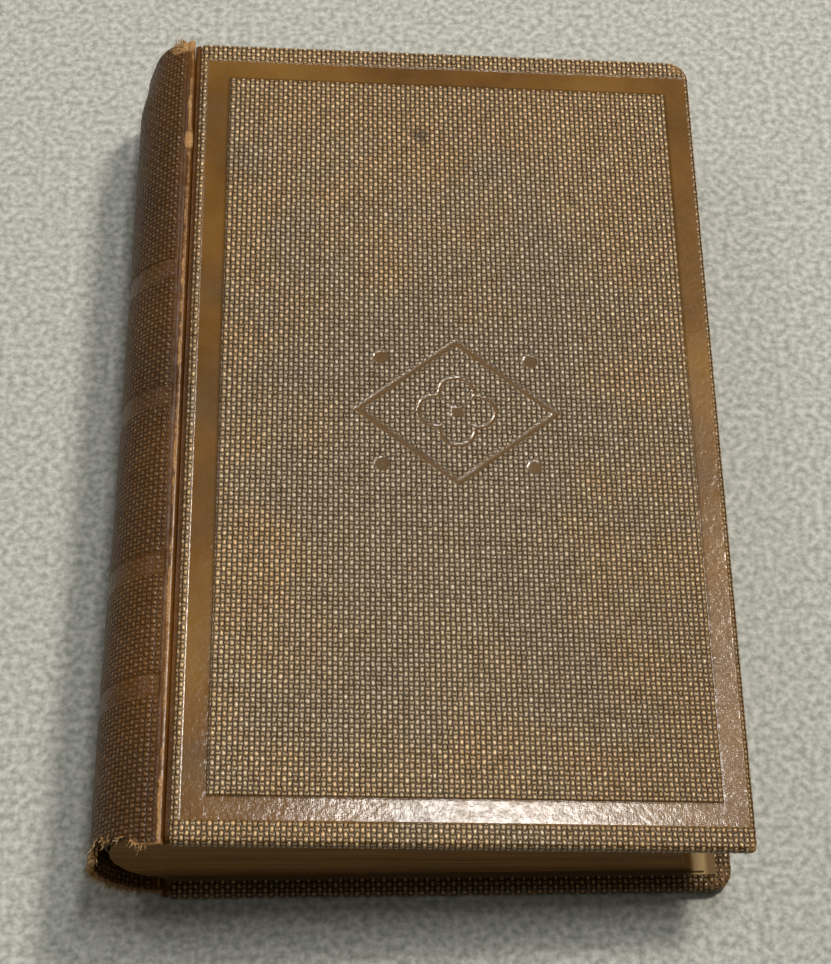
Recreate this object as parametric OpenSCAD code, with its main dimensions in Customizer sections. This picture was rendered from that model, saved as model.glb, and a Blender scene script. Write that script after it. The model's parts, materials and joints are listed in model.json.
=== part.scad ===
// Worn hardback book with a rounded and backed text block in a cloth case.
// It lies on its back cover: +X points to the fore-edge, +Y to the head, +Z up.

/* [Case] */
// Height of both boards, tail to head
case_h = 182; // [150:1:230]
// Width of a cover, from its hinge line to the fore-edge
cover_w = 107.5; // [90:0.5:135]
// Thickness of the closed book at its joints
thick_spine = 29; // [26:0.5:34]
// Thickness of the closed book at its fore-edge
thick_fore = 21; // [18:0.5:25]
// How far the spine bulges beyond the two joints, halfway up
spine_bulge = 12.4; // [11:0.1:13.5]
// How far the worn book has twisted: the spine bulges more at the tail than at the head
spine_skew = 0.45; // [0:0.05:0.6]
// How far the back cover has crept towards the spine
cover_lean = 2.6; // [0:0.1:4]
// How far the back cover has slipped towards the tail
cover_drop = 1.1; // [0:0.1:3]

/* [Boards and cloth] */
// Thickness of the bare pasteboard
board_t = 1.7; // [1.2:0.1:2.6]
// Thickness of the covering cloth
cloth_t = 0.3; // [0.2:0.05:0.4]
// Distance from the hinge line to the edge of the board
board_setback = 1.2; // [0.9:0.1:2.5]
// Depth of the groove in the joint
groove_depth = 1.2; // [0.9:0.1:1.3]
// Width of the cloth turned in round the board
turn_in = 13; // [8:0.5:20]
// Rounding of the cover's long and short edges
edge_round = 0.7; // [0.4:0.1:0.9]
// Rounding of a sound corner
corner_round = 1.3; // [1:0.1:3]
// Rounding of the front cover's bumped corner at the head
bumped_head = 4.6; // [2:0.1:7]
// Rounding of the back cover's bumped corner at the tail
bumped_tail = 4.2; // [2:0.1:7]
// Width of the slit where two turn-ins meet at a corner
mitre_slit = 0.25; // [0.15:0.05:0.5]

/* [Blind stamping] */
// Depth of the pressed lines and bands
stamp_depth = 0.15; // [0.08:0.01:0.2]
// Width of the plain band round the beaded panel
band_w = 4.7; // [3:0.1:7]
// Band to the head and tail edges
band_end = 4.5; // [2:0.1:8]
// Band to the edge of the board along the joint
band_joint = 1.4; // [1:0.1:5]
// Band to the fore-edge
band_fore = 1; // [0.9:0.1:5]
// Width of the lozenge stamped in the middle of the front cover
lozenge_w = 42; // [24:1:60]
// Height of that lozenge
lozenge_h = 34; // [20:1:60]
// Width of its pressed line
line_w = 1.3; // [0.8:0.1:2]
// Radius of each petal of the flower inside it
petal_r = 4; // [2.5:0.1:5.5]
// Centre of each petal to the middle of the flower
petal_out = 4.2; // [3:0.1:6]
// Width of the pressed line of a petal
petal_line = 0.9; // [0.6:0.1:1.5]
// Radius of the dot in the middle of the flower
dot_r = 1.3; // [0.5:0.1:2]
// Radius of the small roundels outside the lozenge's sides
roundel_r = 1.6; // [0.8:0.1:2]
// Roundels to the middle of the lozenge, as a share of its width and height
roundel_share = 0.36; // [0.32:0.01:0.45]

/* [Text block] */
// Height of the leaves
leaf_h = 175.5; // [140:0.5:226]
// Tail edge of the leaves to the tail edge of the front board
tail_square = 2.5; // [1:0.1:6]
// Fore-edge of the leaves to the fore-edge of the boards
fore_square = 7.4; // [3:0.1:9]
// Fore-edge of the endpapers to the fore-edge of the boards
paper_square = 5.1; // [2:0.1:8]
// Depth of the hollow along the fore-edge
fore_hollow = 3.8; // [2:0.1:5]
// Thickness of one endpaper
endpaper_t = 0.15; // [0.1:0.05:0.3]
// Pastedown to the edges of its board
paste_margin = 3; // [1.5:0.5:6]
// Thickness of the lining glued to the back of the leaves
lining_t = 0.4; // [0.2:0.1:0.6]
// Layer of glue under the lining
glue_t = 0.05; // [0.02:0.01:0.1]
// Lining to the ends of the leaves
lining_margin = 2; // [1:0.5:10]
// Lining to the hinge lines, measured across the book
lining_short = 6.5; // [6:0.5:8]

/* [Spine] */
// Thickness of the paper stiffener in the spine
inlay_t = 0.5; // [0.3:0.1:0.8]
// Stiffener to the hinge lines, measured across the book
inlay_short = 5; // [4.5:0.5:6]
// Length of the cloth turned in at head and tail of the spine
spine_turn_in = 12; // [6:0.5:20]
// Hollow between the stiffener's side and the lined leaves
hollow = 0.9; // [0.7:0.1:1.2]
// Radius of the roll of cloth beside each joint
ridge_r = 0.9; // [0.8:0.1:1.2]
// How far the worn cloth at the head stands past the boards
cap_rise = 1.5; // [0:0.1:3]
// Width of each plain band stamped across the spine
rib_w = 4.6; // [2:0.1:7]
// Middle of the first of those bands, from the tail
rib_1 = 31.1; // [20:0.1:40]
// Middle of the second one
rib_2 = 56.3; // [46:0.1:70]
// Middle of the third one
rib_3 = 93.7; // [78:0.1:104]
// Middle of the fourth one
rib_4 = 124; // [112:0.1:140]
// Ends of those bands to the hinge lines, measured across the book
rib_short = 3.2; // [2.6:0.1:5]
// Radius of the tear in the spine near the tail
tear_r = 1.9; // [1:0.1:3]
// Distance of its middle from the tail, so that it runs out through the edge
tear_y = 1.5; // [1.2:0.1:6]
// Turn of that tear from the middle of the spine towards the front cover
tear_turn = 30; // [10:1:45]
// Radius of the shallow hollow worn in the tail edge beside the tear
worn_r = 7; // [5:0.5:12]
// Depth of that hollow
worn_depth = 1.8; // [0.5:0.1:3]
// Turn of that hollow from the middle of the spine towards the front cover
worn_turn = 49; // [40:1:56]

/* [Clearances] */
// Gap between a cover and what it closes against
cover_gap = 0.3; // [0.25:0.05:0.5]
// Shoulder of the leaves to the cloth that rolls over it
shoulder_gap = 0.7; // [0.5:0.1:1]
// Gap between the cloth of a cover and of the spine, at the hinge line
hinge_gap = 0.3; // [0.3:0.05:0.5]
// Spine cloth to the plane of each cover's outer face
spine_sink = 0.4; // [0.35:0.05:0.6]

/* [Hidden] */
$fn = 64;
// Longer than any part of the book, for cuts that go right through
big = 400;
// How far a cut goes past the face that it opens
cut_past = 0.05;

// The front cover falls towards the fore-edge, because the book is thinner there.
fall = asin((thick_spine - thick_fore) / cover_w);
side_t = cloth_t + board_t + cloth_t;
cover_t = side_t + endpaper_t;
// The slit between two turn-ins starts where the rounding of the edge has ended.
mitre_start = 1.5 * edge_round;
// Outer face of a cover to the face of the leaves
leaf_depth = cover_t + cover_gap + endpaper_t;

// The spine's section is an arc from joint to joint.
joint_top = [-hinge_gap / 2, thick_spine - spine_sink];
joint_low = [-hinge_gap / 2 - cover_lean, spine_sink];

function arc_r(p, q, bulge) = (pow(norm(p - q) / 2, 2) + bulge * bulge) / (2 * bulge);
function arc_c(p, q, bulge) =
    (p + q) / 2 + [p[1] - q[1], q[0] - p[0]] / norm(p - q) * (arc_r(p, q, bulge) - bulge);

spine_r = arc_r(joint_top, joint_low, spine_bulge);
spine_c = arc_c(joint_top, joint_low, spine_bulge);
inlay_r = spine_r - cloth_t;
flap_r = inlay_r - inlay_t;

// The object's own reference point is the middle of its underside.
x_low = (spine_c[0] - spine_r) / cos(spine_skew) - tan(spine_skew) * case_h / 2;
x_high = max(cover_w * cos(fall), cover_w - cover_lean);
mid = [(x_low + x_high) / 2, (case_h + cap_rise - cover_drop) / 2, 0];

module along_y(y0, y1) {
    translate([0, y1, 0])
        rotate([90, 0, 0])
            linear_extrude(y1 - y0)
                children();
}

module place() {
    translate(-mid)
        children();
}

// A cover is drawn with its outer face at z = 0, its hinge line at x = 0 and the board below.
module as_front() {
    place()
        translate([0, 0, thick_spine])
            rotate([0, fall, 0])
                children();
}

module as_back() {
    place()
        translate([-cover_lean, -cover_drop, 0])
            mirror([0, 0, 1])
                children();
}

// Rectangle with its two corners at the fore-edge rounded
module rounded_plate(x0, x1, y0, y1, r_tail, r_head) {
    difference() {
        translate([x0, y0])
            square([x1 - x0, y1 - y0]);
        difference() {
            translate([x1 - r_tail, y0 - 1])
                square([r_tail + 1, r_tail + 1]);
            translate([x1 - r_tail, y0 + r_tail])
                circle(r_tail);
        }
        difference() {
            translate([x1 - r_head, y1 - r_head])
                square([r_head + 1, r_head + 1]);
            translate([x1 - r_head, y1 - r_head])
                circle(r_head);
        }
    }
}

// Section of a slab with both edges rounded at its far end
module soft_section(x0, x1, t, r) {
    translate([0, -t])
        rounded_plate(x0, x1, 0, t, r, r);
}

module bare_board(r_tail, r_head) {
    translate([0, 0, -cloth_t - board_t])
        linear_extrude(board_t)
            rounded_plate(board_setback, cover_w - cloth_t, cloth_t, case_h - cloth_t,
                max(r_tail - cloth_t, 0.5), max(r_head - cloth_t, 0.5));
}

// Block that the covered board fills, with soft edges and corners
module covered_slab(r_tail, r_head) {
    x0 = board_setback - cloth_t;
    intersection() {
        translate([0, 0, -side_t - 1])
            linear_extrude(side_t + 2)
                rounded_plate(x0, cover_w, 0, case_h, r_tail, r_head);
        along_y(-1, case_h + 1)
            soft_section(x0, cover_w, side_t, edge_round);
        translate([x0 - 1, case_h / 2, 0])
            rotate([0, 0, -90])
                along_y(0, cover_w + 1)
                    union() {
                        soft_section(0, case_h / 2, side_t, edge_round);
                        mirror([1, 0])
                            soft_section(0, case_h / 2, side_t, edge_round);
                    }
    }
}

// Opening that the turned-in cloth leaves on the inner face
module turn_in_window(depth) {
    translate([-1, turn_in, -side_t - 1])
        cube([cover_w - turn_in + 1, case_h - 2 * turn_in, depth + 1]);
}

module mitre(y, turn) {
    translate([cover_w, y, -side_t - 1])
        rotate([0, 0, turn])
            translate([mitre_start, -mitre_slit / 2, 0])
                cube([turn_in * sqrt(2), mitre_slit, cloth_t + 1]);
}

// Strip of the cover's cloth that dips into the groove beside the hinge line
module groove_strip() {
    along_y(0, case_h)
        translate([0, -groove_depth - cloth_t]) {
            translate([hinge_gap / 2, 0])
                square([board_setback - hinge_gap / 2, cloth_t]);
            translate([board_setback - cloth_t, 0])
                square([cloth_t, groove_depth + cloth_t - edge_round / 2]);
        }
}

module pressed(depth = stamp_depth) {
    translate([0, 0, -depth])
        linear_extrude(depth + 1)
            children();
}

band_x0 = board_setback + band_joint;
band_x1 = cover_w - band_fore;
panel_x0 = band_x0 + band_w;
panel_x1 = band_x1 - band_w;
panel_y0 = band_end + band_w;

module band_outline() {
    difference() {
        translate([band_x0, band_end])
            square([band_x1 - band_x0, case_h - 2 * band_end]);
        translate([panel_x0, panel_y0])
            square([panel_x1 - panel_x0, case_h - 2 * panel_y0]);
    }
}

module lozenge(inset) {
    w = lozenge_w / 2;
    h = lozenge_h / 2;
    shrink = 1 - inset * norm([w, h]) / (w * h);
    polygon([[w, 0], [0, h], [-w, 0], [0, -h]] * shrink);
}

module flower_outline() {
    difference() {
        for (turn = [0:90:270])
            rotate(turn)
                translate([petal_out, 0])
                    circle(petal_r);
        for (turn = [0:90:270])
            rotate(turn)
                translate([petal_out, 0])
                    circle(petal_r - petal_line);
    }
    circle(dot_r);
}

module ornament_outline() {
    translate([(panel_x0 + panel_x1) / 2, case_h / 2]) {
        difference() {
            lozenge(0);
            lozenge(line_w);
        }
        flower_outline();
        for (sx = [-1, 1])
            for (sy = [-1, 1])
                translate([sx * lozenge_w, sy * lozenge_h] * roundel_share)
                    circle(roundel_r);
    }
}

module cover_cloth(r_tail, r_head, ornament) {
    union() {
        difference() {
            covered_slab(r_tail, r_head);
            bare_board(r_tail, r_head);
            turn_in_window(cloth_t + cut_past);
            mitre(0, 135);
            mitre(case_h, -135);
            pressed()
                band_outline();
            if (ornament)
                pressed()
                    ornament_outline();
        }
        groove_strip();
    }
}

// The sheet lies on the turned-in cloth and sinks to the board inside it.
module pastedown() {
    top = -side_t;
    x0 = board_setback;
    x1 = cover_w - paste_margin;
    lip = turn_in + endpaper_t;
    difference() {
        union() {
            translate([x0, paste_margin, top - endpaper_t])
                cube([x1 - x0, case_h - 2 * paste_margin, endpaper_t]);
            translate([x0, turn_in, top - endpaper_t])
                cube([cover_w - turn_in - x0, case_h - 2 * turn_in, cloth_t + endpaper_t]);
        }
        translate([x0 - 1, lip, top - endpaper_t - 1])
            cube([cover_w - lip - x0 + 1, case_h - 2 * lip, cloth_t + 1]);
    }
}

// A point of the front cover's section: u along the cover, d below its outer face
function front_point(u, d) = [u * cos(fall) - d * sin(fall), thick_spine - u * sin(fall) - d * cos(fall)];

// Lips of the fore-edge, where its hollow meets the first and last leaf
lip_low = [cover_w - cover_lean - fore_square, leaf_depth];
lip_top = front_point(cover_w - fore_square, leaf_depth);
lip_span = lip_top - lip_low;
lip_half = norm(lip_span) / 2;
fore_r = (lip_half * lip_half + fore_hollow * fore_hollow) / (2 * fore_hollow);
fore_n = [lip_span[1], -lip_span[0]] / norm(lip_span);
fore_c = (lip_top + lip_low) / 2 + fore_n * (fore_r - fore_hollow);

// Rolls of cloth over the shoulders, one beside each joint
ridge_top_x = joint_top[0] - ridge_r;
ridge_low_x = joint_low[0] - ridge_r;
ridge_top_z = spine_c[1] + sqrt(pow(spine_r, 2) - pow(ridge_top_x - spine_c[0], 2)) - ridge_r;
ridge_low_z = spine_c[1] - sqrt(pow(spine_r, 2) - pow(ridge_low_x - spine_c[0], 2)) + ridge_r;

// The leaves are backed: their spine edges bend out into a shoulder that each board abuts.
shoulder_top = [ridge_top_x + ridge_r / 2, ridge_top_z + ridge_r - cloth_t - shoulder_gap];
shoulder_low = [ridge_low_x + ridge_r / 2, ridge_low_z - ridge_r + cloth_t + shoulder_gap];
back_x = spine_c[0] - flap_r + cloth_t + hollow + lining_t + glue_t;
block_bulge = (shoulder_top[0] + shoulder_low[0]) / 2 - back_x;
back_r = arc_r(shoulder_top, shoulder_low, block_bulge);
back_c = arc_c(shoulder_top, shoulder_low, block_bulge);
bend_u = board_setback / 2;
bend_d = leaf_depth - endpaper_t;
foot_d = groove_depth + cloth_t + cover_gap;
// The rounded back reaches this far into the flat leaves, so that they are one solid.
back_overlap = fore_hollow;
leaf_y0 = tail_square;
leaf_y1 = tail_square + leaf_h;

// A bar along the spine, turned a little by the skew and cut square at its ends
module skewed(y0, y1) {
    intersection() {
        translate([0, case_h / 2, 0])
            rotate([0, 0, -spine_skew])
                translate([0, -case_h / 2, 0])
                    along_y(y0 - 1, y1 + 1)
                        children(0);
        along_y(y0, y1)
            children(1);
    }
}

module ring(r_out, r_in, centre) {
    translate(centre)
        difference() {
            circle(r_out);
            circle(r_in);
        }
}

// Everything that lies further than this from both joints, towards the spine
module beyond_joints(short) {
    polygon([[-big, -big], [joint_low[0] - short, -big], [joint_low[0] - short, thick_spine / 2],
        [joint_top[0] - short, thick_spine / 2], [joint_top[0] - short, big], [-big, big]]);
}

module flat_leaves() {
    difference() {
        polygon([shoulder_low, [joint_low[0], foot_d], [bend_u - cover_lean, bend_d],
            [board_setback - cover_lean, leaf_depth], lip_low, lip_top,
            front_point(board_setback, leaf_depth), front_point(bend_u, bend_d),
            [joint_top[0], thick_spine - foot_d], shoulder_top]);
        translate(fore_c)
            circle(fore_r);
    }
}

module text_block() {
    color("#cdbf9c")
        place() {
            along_y(leaf_y0, leaf_y1)
                flat_leaves();
            skewed(leaf_y0, leaf_y1) {
                translate(back_c)
                    circle(back_r);
                polygon([shoulder_low, (shoulder_low + shoulder_top) / 2 + [back_overlap, 0], shoulder_top,
                    shoulder_top - [big, 0], shoulder_low - [big, 0]]);
            }
        }
}

module spine_lining() {
    color("#a79a7c")
        place()
            skewed(leaf_y0 + lining_margin, leaf_y1 - lining_margin) {
                ring(back_r + glue_t + lining_t, back_r + glue_t, back_c);
                beyond_joints(lining_short);
            }
}

module bite(y, r, turn) {
    translate([spine_c[0], y, spine_c[1]])
        rotate([0, turn - 90, 0])
            cylinder(h = thick_spine, r = r);
}

// Tear through the cloth and the stiffener, and the worn tail edge beside it
module tear() {
    bite(tear_y, tear_r, tear_turn);
    bite(worn_depth - worn_r, worn_r, worn_turn);
}

module spine_inlay() {
    color("#8d8068")
        place()
            difference() {
                skewed(cloth_t, case_h + cap_rise - cloth_t) {
                    ring(inlay_r, flap_r, spine_c);
                    beyond_joints(inlay_short);
                }
                tear();
            }
}

// Quarter of a tube that rolls the cloth over the shoulder and down into the groove
module ridge_roll(x, z, up) {
    along_y(0, case_h)
        intersection() {
            ring(ridge_r, ridge_r - cloth_t, [x, z]);
            translate([x, up > 0 ? z : z - ridge_r])
                square(ridge_r);
        }
}

module spine_skin(y0, y1, r_out, r_in, short) {
    skewed(y0, y1) {
        ring(r_out, r_in, spine_c);
        beyond_joints(short);
    }
}

// Plain bands pressed across the spine
module spine_ribs() {
    for (y = [rib_1, rib_2, rib_3, rib_4])
        skewed(y - rib_w / 2, y + rib_w / 2) {
            ring(spine_r + 1, spine_r - stamp_depth, spine_c);
            beyond_joints(rib_short);
        }
}

module spine_cloth() {
    y1 = case_h + cap_rise;
    color("#6e4a26")
        place()
            difference() {
                union() {
                    spine_skin(0, y1, spine_r, inlay_r, ridge_r);
                    ridge_roll(ridge_top_x, ridge_top_z, 1);
                    ridge_roll(ridge_low_x, ridge_low_z, -1);
                    spine_skin(0, cloth_t, spine_r, flap_r - cloth_t, inlay_short);
                    spine_skin(y1 - cloth_t, y1, spine_r, flap_r - cloth_t, inlay_short);
                    spine_skin(0, spine_turn_in, flap_r, flap_r - cloth_t, inlay_short);
                    spine_skin(y1 - spine_turn_in, y1, flap_r, flap_r - cloth_t, inlay_short);
                }
                tear();
                spine_ribs();
            }
}

module front_flyleaf() {
    x1 = cover_w - paper_square;
    color("#d8cba8")
        as_front()
            translate([board_setback, leaf_y0, -leaf_depth])
                cube([x1 - board_setback, leaf_h, endpaper_t]);
}

module back_flyleaf() {
    x1 = cover_w - paper_square;
    color("#d8cba8")
        place()
            translate([-cover_lean + board_setback, leaf_y0, leaf_depth - endpaper_t])
                cube([x1 - board_setback, leaf_h, endpaper_t]);
}

module front_board() {
    color("#9a8a6c")
        as_front()
            bare_board(corner_round, bumped_head);
}

module back_board() {
    color("#9a8a6c")
        as_back()
            bare_board(bumped_tail, corner_round);
}

module front_cloth() {
    color("#75562f")
        as_front()
            cover_cloth(corner_round, bumped_head, true);
}

module back_cloth() {
    color("#75562f")
        as_back()
            cover_cloth(bumped_tail, corner_round, false);
}

module front_pastedown() {
    color("#c9b78f")
        as_front()
            pastedown();
}

module back_pastedown() {
    color("#c9b78f")
        as_back()
            pastedown();
}

text_block();
spine_lining();
front_flyleaf();
back_flyleaf();
spine_cloth();
spine_inlay();
front_board();
front_cloth();
front_pastedown();
back_board();
back_cloth();
back_pastedown();
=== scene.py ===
import json
import math

import bmesh
import bpy
import numpy as np
from mathutils import Matrix, Vector, noise


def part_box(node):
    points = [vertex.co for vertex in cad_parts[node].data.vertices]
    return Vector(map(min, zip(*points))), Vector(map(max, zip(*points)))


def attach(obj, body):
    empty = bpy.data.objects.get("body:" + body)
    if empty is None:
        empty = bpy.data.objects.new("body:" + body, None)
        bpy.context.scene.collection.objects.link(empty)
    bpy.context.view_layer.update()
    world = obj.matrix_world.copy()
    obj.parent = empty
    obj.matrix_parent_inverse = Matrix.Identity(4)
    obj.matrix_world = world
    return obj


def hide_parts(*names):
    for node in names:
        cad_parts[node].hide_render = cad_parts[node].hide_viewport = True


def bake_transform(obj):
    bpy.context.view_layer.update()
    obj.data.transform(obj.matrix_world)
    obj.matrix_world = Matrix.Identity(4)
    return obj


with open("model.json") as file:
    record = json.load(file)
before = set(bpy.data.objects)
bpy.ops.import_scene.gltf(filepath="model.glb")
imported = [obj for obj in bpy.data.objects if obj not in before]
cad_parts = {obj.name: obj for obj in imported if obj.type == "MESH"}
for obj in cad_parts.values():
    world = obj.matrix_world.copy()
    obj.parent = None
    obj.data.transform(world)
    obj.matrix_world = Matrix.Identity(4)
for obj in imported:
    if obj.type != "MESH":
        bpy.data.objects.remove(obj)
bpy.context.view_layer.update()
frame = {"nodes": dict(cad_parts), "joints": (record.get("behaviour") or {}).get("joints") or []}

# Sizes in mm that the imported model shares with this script
frontHinge = next(j for j in frame["joints"] if j["name"] == "front_joint")["pos_m"]
backHinge = next(j for j in frame["joints"] if j["name"] == "back_joint")["pos_m"]
case = {
    "height": 182.0,
    "width": 107.5,
    "thick": frontHinge[2] * 1000,
    "thickFore": 21.0,
    "lean": (frontHinge[0] - backHinge[0]) * 1000,
    "drop": 1.1,
    "boardIn": 1.2,      # hinge line to the edge of the board
    "cloth": 0.3,
    "coverDepth": 2.3,   # cloth, board and cloth
    "edgeRound": 0.7,
    "grooveDepth": 1.2,
    "turnIn": 13.0,
}
originX = -frontHinge[0] * 1000
originY = case["cloth"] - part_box("front_board")[0].y * 1000
fall = math.asin((case["thick"] - case["thickFore"]) / case["width"])

# Grain of the book cloth: beads in staggered rows
# the last value stretches the painted highlight on each bead along the book
grain = {"across": 2.03, "along": 1.92, "height": 0.19, "squeeze": 0.82, "highlightStretch": 0.6}


def toFrame(points):
    moved = np.asarray(points, float) - np.array([originX, originY, 0.0])
    return moved / 1000


def frontPlace(p):
    # p is (along the cover, towards the head, above the outer face)
    x = p[:, 0] * math.cos(fall) + p[:, 2] * math.sin(fall)
    z = case["thick"] - p[:, 0] * math.sin(fall) + p[:, 2] * math.cos(fall)
    return toFrame(np.stack([x, p[:, 1], z], 1))


def backPlace(p):
    return toFrame(np.stack([p[:, 0] - case["lean"], p[:, 1] - case["drop"], -p[:, 2]], 1))


def ease(t):
    t = np.clip(t, 0, 1)
    return t * t * (3 - 2 * t)


def linearColour(code):
    channels = [int(code[i:i + 2], 16) / 255 for i in (1, 3, 5)]
    return tuple(c / 12.92 if c <= 0.04045 else ((c + 0.055) / 1.055) ** 2.4 for c in channels) + (1.0,)


def addNode(tree, kind, inputs=None, **settings):
    node = tree.nodes.new(kind)
    for name, value in settings.items():
        setattr(node, name, value)
    for name, value in (inputs or {}).items():
        if isinstance(value, bpy.types.Node):
            value = value.outputs[0]
        if isinstance(value, bpy.types.NodeSocket):
            tree.links.new(value, node.inputs[name])
        else:
            node.inputs[name].default_value = value
    return node


def calc(tree, operation, *values, clamp=False):
    return addNode(tree, "ShaderNodeMath", dict(enumerate(values)), operation=operation, use_clamp=clamp)


def vectorCalc(tree, operation, *values):
    return addNode(tree, "ShaderNodeVectorMath", dict(enumerate(values)), operation=operation)


def scaled(tree, vector, amount):
    return addNode(tree, "ShaderNodeVectorMath", {0: vector, "Scale": amount}, operation="SCALE")


def mapRange(tree, value, start=(0.0, 1.0), end=(0.0, 1.0), **settings):
    return addNode(tree, "ShaderNodeMapRange", {"Value": value, "From Min": start[0], "From Max": start[1],
                                                "To Min": end[0], "To Max": end[1]}, **settings)


def noiseOn(tree, place, scale, detail, roughness=0.5):
    return addNode(tree, "ShaderNodeTexNoise", {"Vector": place, "Scale": scale, "Detail": detail,
                                                "Roughness": roughness})


def mixColours(tree, share, first, second):
    node = addNode(tree, "ShaderNodeMix", {0: share, 6: first, 7: second}, data_type="RGBA")
    return node.outputs[2]


def attribute(tree, name, output="Fac"):
    return addNode(tree, "ShaderNodeAttribute", attribute_name=name).outputs[output]


def namedValue(tree, name, kind="FLOAT"):
    return addNode(tree, "GeometryNodeInputNamedAttribute", {"Name": name}, data_type=kind)


def bumpOn(tree, height, strength, distance, normal=None):
    given = {"Height": height, "Strength": strength, "Distance": distance}
    if normal is not None:
        given["Normal"] = normal
    return addNode(tree, "ShaderNodeBump", given)


# Place on the object in mm, for the patterns
def placeInMm(tree):
    where = addNode(tree, "ShaderNodeTexCoord")
    return vectorCalc(tree, "MULTIPLY", where.outputs["Object"], (1000.0,) * 3)


def newMaterial(name):
    material = bpy.data.materials.new(name)
    material.use_nodes = True
    material.node_tree.nodes.clear()
    return material, material.node_tree


# Geometry Nodes tree with named inputs and a fixed seed
def newShapeTree(name, values, seed):
    tree = bpy.data.node_groups.new(name, "GeometryNodeTree")
    face = tree.interface
    face.new_socket("Geometry", in_out="INPUT", socket_type="NodeSocketGeometry")
    face.new_socket("Geometry", in_out="OUTPUT", socket_type="NodeSocketGeometry")
    for key, value in values.items():
        face.new_socket(key, in_out="INPUT", socket_type="NodeSocketFloat").default_value = value
    face.new_socket("Seed", in_out="INPUT", socket_type="NodeSocketInt").default_value = seed
    return tree, addNode(tree, "NodeGroupInput")


# Real geometry in one material, as the last step of a tree
def finishShape(tree, geometry, material):
    real = addNode(tree, "GeometryNodeRealizeInstances", {"Geometry": geometry})
    painted = addNode(tree, "GeometryNodeSetMaterial", {"Geometry": real, "Material": material})
    addNode(tree, "NodeGroupOutput", {"Geometry": painted})


def setRamp(node, stops):
    elements = node.color_ramp.elements
    while len(elements) < len(stops):
        elements.new(0.5)
    for element, (place, colour) in zip(elements, stops):
        element.position = place
        element.color = linearColour(colour) if isinstance(colour, str) else (colour, colour, colour, 1)
    return node


def ramp(tree, value, stops):
    return setRamp(addNode(tree, "ShaderNodeValToRGB", {"Fac": value}), stops)


def setCurve(node, points):
    curve = node.mapping.curves[0]
    while len(curve.points) < len(points):
        curve.points.new(0.5, 0.5)
    for point, place in zip(curve.points, points):
        point.location = place
    node.mapping.update()
    return node


# Distance in mm from the nearest bead, from a vector that holds the place on the cloth in mm; squeeze under 1
# makes the beads longer along the book
def beadDistance(tree, place, squeeze):
    pitch = (grain["across"], grain["along"], 1.0)
    flat = (grain["across"], grain["along"] * squeeze, 0.0)
    cell = vectorCalc(tree, "DIVIDE", place, pitch).outputs[0]
    found = []
    for shift in (0.5, 0.0):
        moved = vectorCalc(tree, "ADD", cell, (shift,) * 3)
        part = vectorCalc(tree, "FRACTION", moved)
        centred = vectorCalc(tree, "SUBTRACT", part, (0.5,) * 3)
        real = vectorCalc(tree, "MULTIPLY", centred, flat)
        found.append(vectorCalc(tree, "LENGTH", real).outputs["Value"])
    return calc(tree, "MINIMUM", found[0], found[1]).outputs[0]


# Height of the grain against that distance: a round bead, a groove round it and the net between
beadProfile = [(0.0, 1.0), (0.1, 0.95), (0.2, 0.78), (0.3, 0.48), (0.4, 0.15), (0.47, 0.02), (0.57, 0.12),
               (0.76, 0.48), (1.0, 0.6)]
netReach = 1.1


def pressedGrainTree(material):
    tree, given = newShapeTree("pressedGrain", {"Bead height": grain["height"], "Uneven": 0.35}, 7)
    place = namedValue(tree, "grain", "FLOAT_VECTOR")
    smooth = namedValue(tree, "smooth")
    away = beadDistance(tree, place, grain["squeeze"])
    share = calc(tree, "DIVIDE", away, netReach, clamp=True)
    curve = setCurve(addNode(tree, "ShaderNodeFloatCurve", {"Value": share}), beadProfile)
    level = calc(tree, "SUBTRACT", curve, 0.4)
    coarse = namedValue(tree, "coarse")
    plain = calc(tree, "MAXIMUM", smooth, coarse)
    keep = calc(tree, "SUBTRACT", 1.0, plain, clamp=True)
    kept = calc(tree, "MULTIPLY", level, keep)
    shift = calc(tree, "MULTIPLY", given.outputs["Seed"], 13.7)
    spot = addNode(tree, "ShaderNodeTexNoise", {"Vector": place, "W": shift, "Scale": 0.09, "Detail": 3.0},
                   noise_dimensions="4D")
    worn = calc(tree, "MULTIPLY", spot, given.outputs["Uneven"])
    left = calc(tree, "SUBTRACT", 1.15, worn)
    tall = calc(tree, "MULTIPLY", left, given.outputs["Bead height"])
    rise = calc(tree, "MULTIPLY", kept, tall)
    metres = calc(tree, "MULTIPLY", rise, 0.001)
    outward = addNode(tree, "GeometryNodeInputNormal")
    offset = scaled(tree, outward, metres)
    moved = addNode(tree, "GeometryNodeSetPosition", {"Geometry": given.outputs["Geometry"],
                                                      "Offset": offset})
    finishShape(tree, moved, material)
    return tree


# Runs a Geometry Nodes tree on an object and leaves a plain mesh
def grown(obj, tree, values=None):
    modifier = obj.modifiers.new(tree.name, "NODES")
    modifier.node_group = tree
    for item in tree.interface.items_tree:
        if item.in_out == "INPUT" and item.name in (values or {}):
            modifier[item.identifier] = values[item.name]
    bpy.context.view_layer.update()
    done = bpy.data.meshes.new_from_object(obj.evaluated_get(bpy.context.evaluated_depsgraph_get()))
    obj.modifiers.remove(modifier)
    obj.data = done
    return obj


def addObject(name, mesh, material=None):
    obj = bpy.data.objects.new(name, mesh)
    bpy.context.scene.collection.objects.link(obj)
    if material is not None:
        mesh.materials.clear()
        mesh.materials.append(material)
    return obj


def meshFrom(name, points, faces, **attributes):
    mesh = bpy.data.meshes.new(name)
    mesh.from_pydata([tuple(p) for p in points], [], faces)
    for key, value in attributes.items():
        setAttribute(mesh, key, value)
    return mesh


def setAttribute(mesh, key, value):
    value = np.asarray(value, float)
    kind = "FLOAT_VECTOR" if value.ndim == 2 else "FLOAT"
    layer = mesh.attributes.get(key) or mesh.attributes.new(key, kind, "POINT")
    layer.data.foreach_set("vector" if value.ndim == 2 else "value", value.astype(np.float32).ravel())


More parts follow.
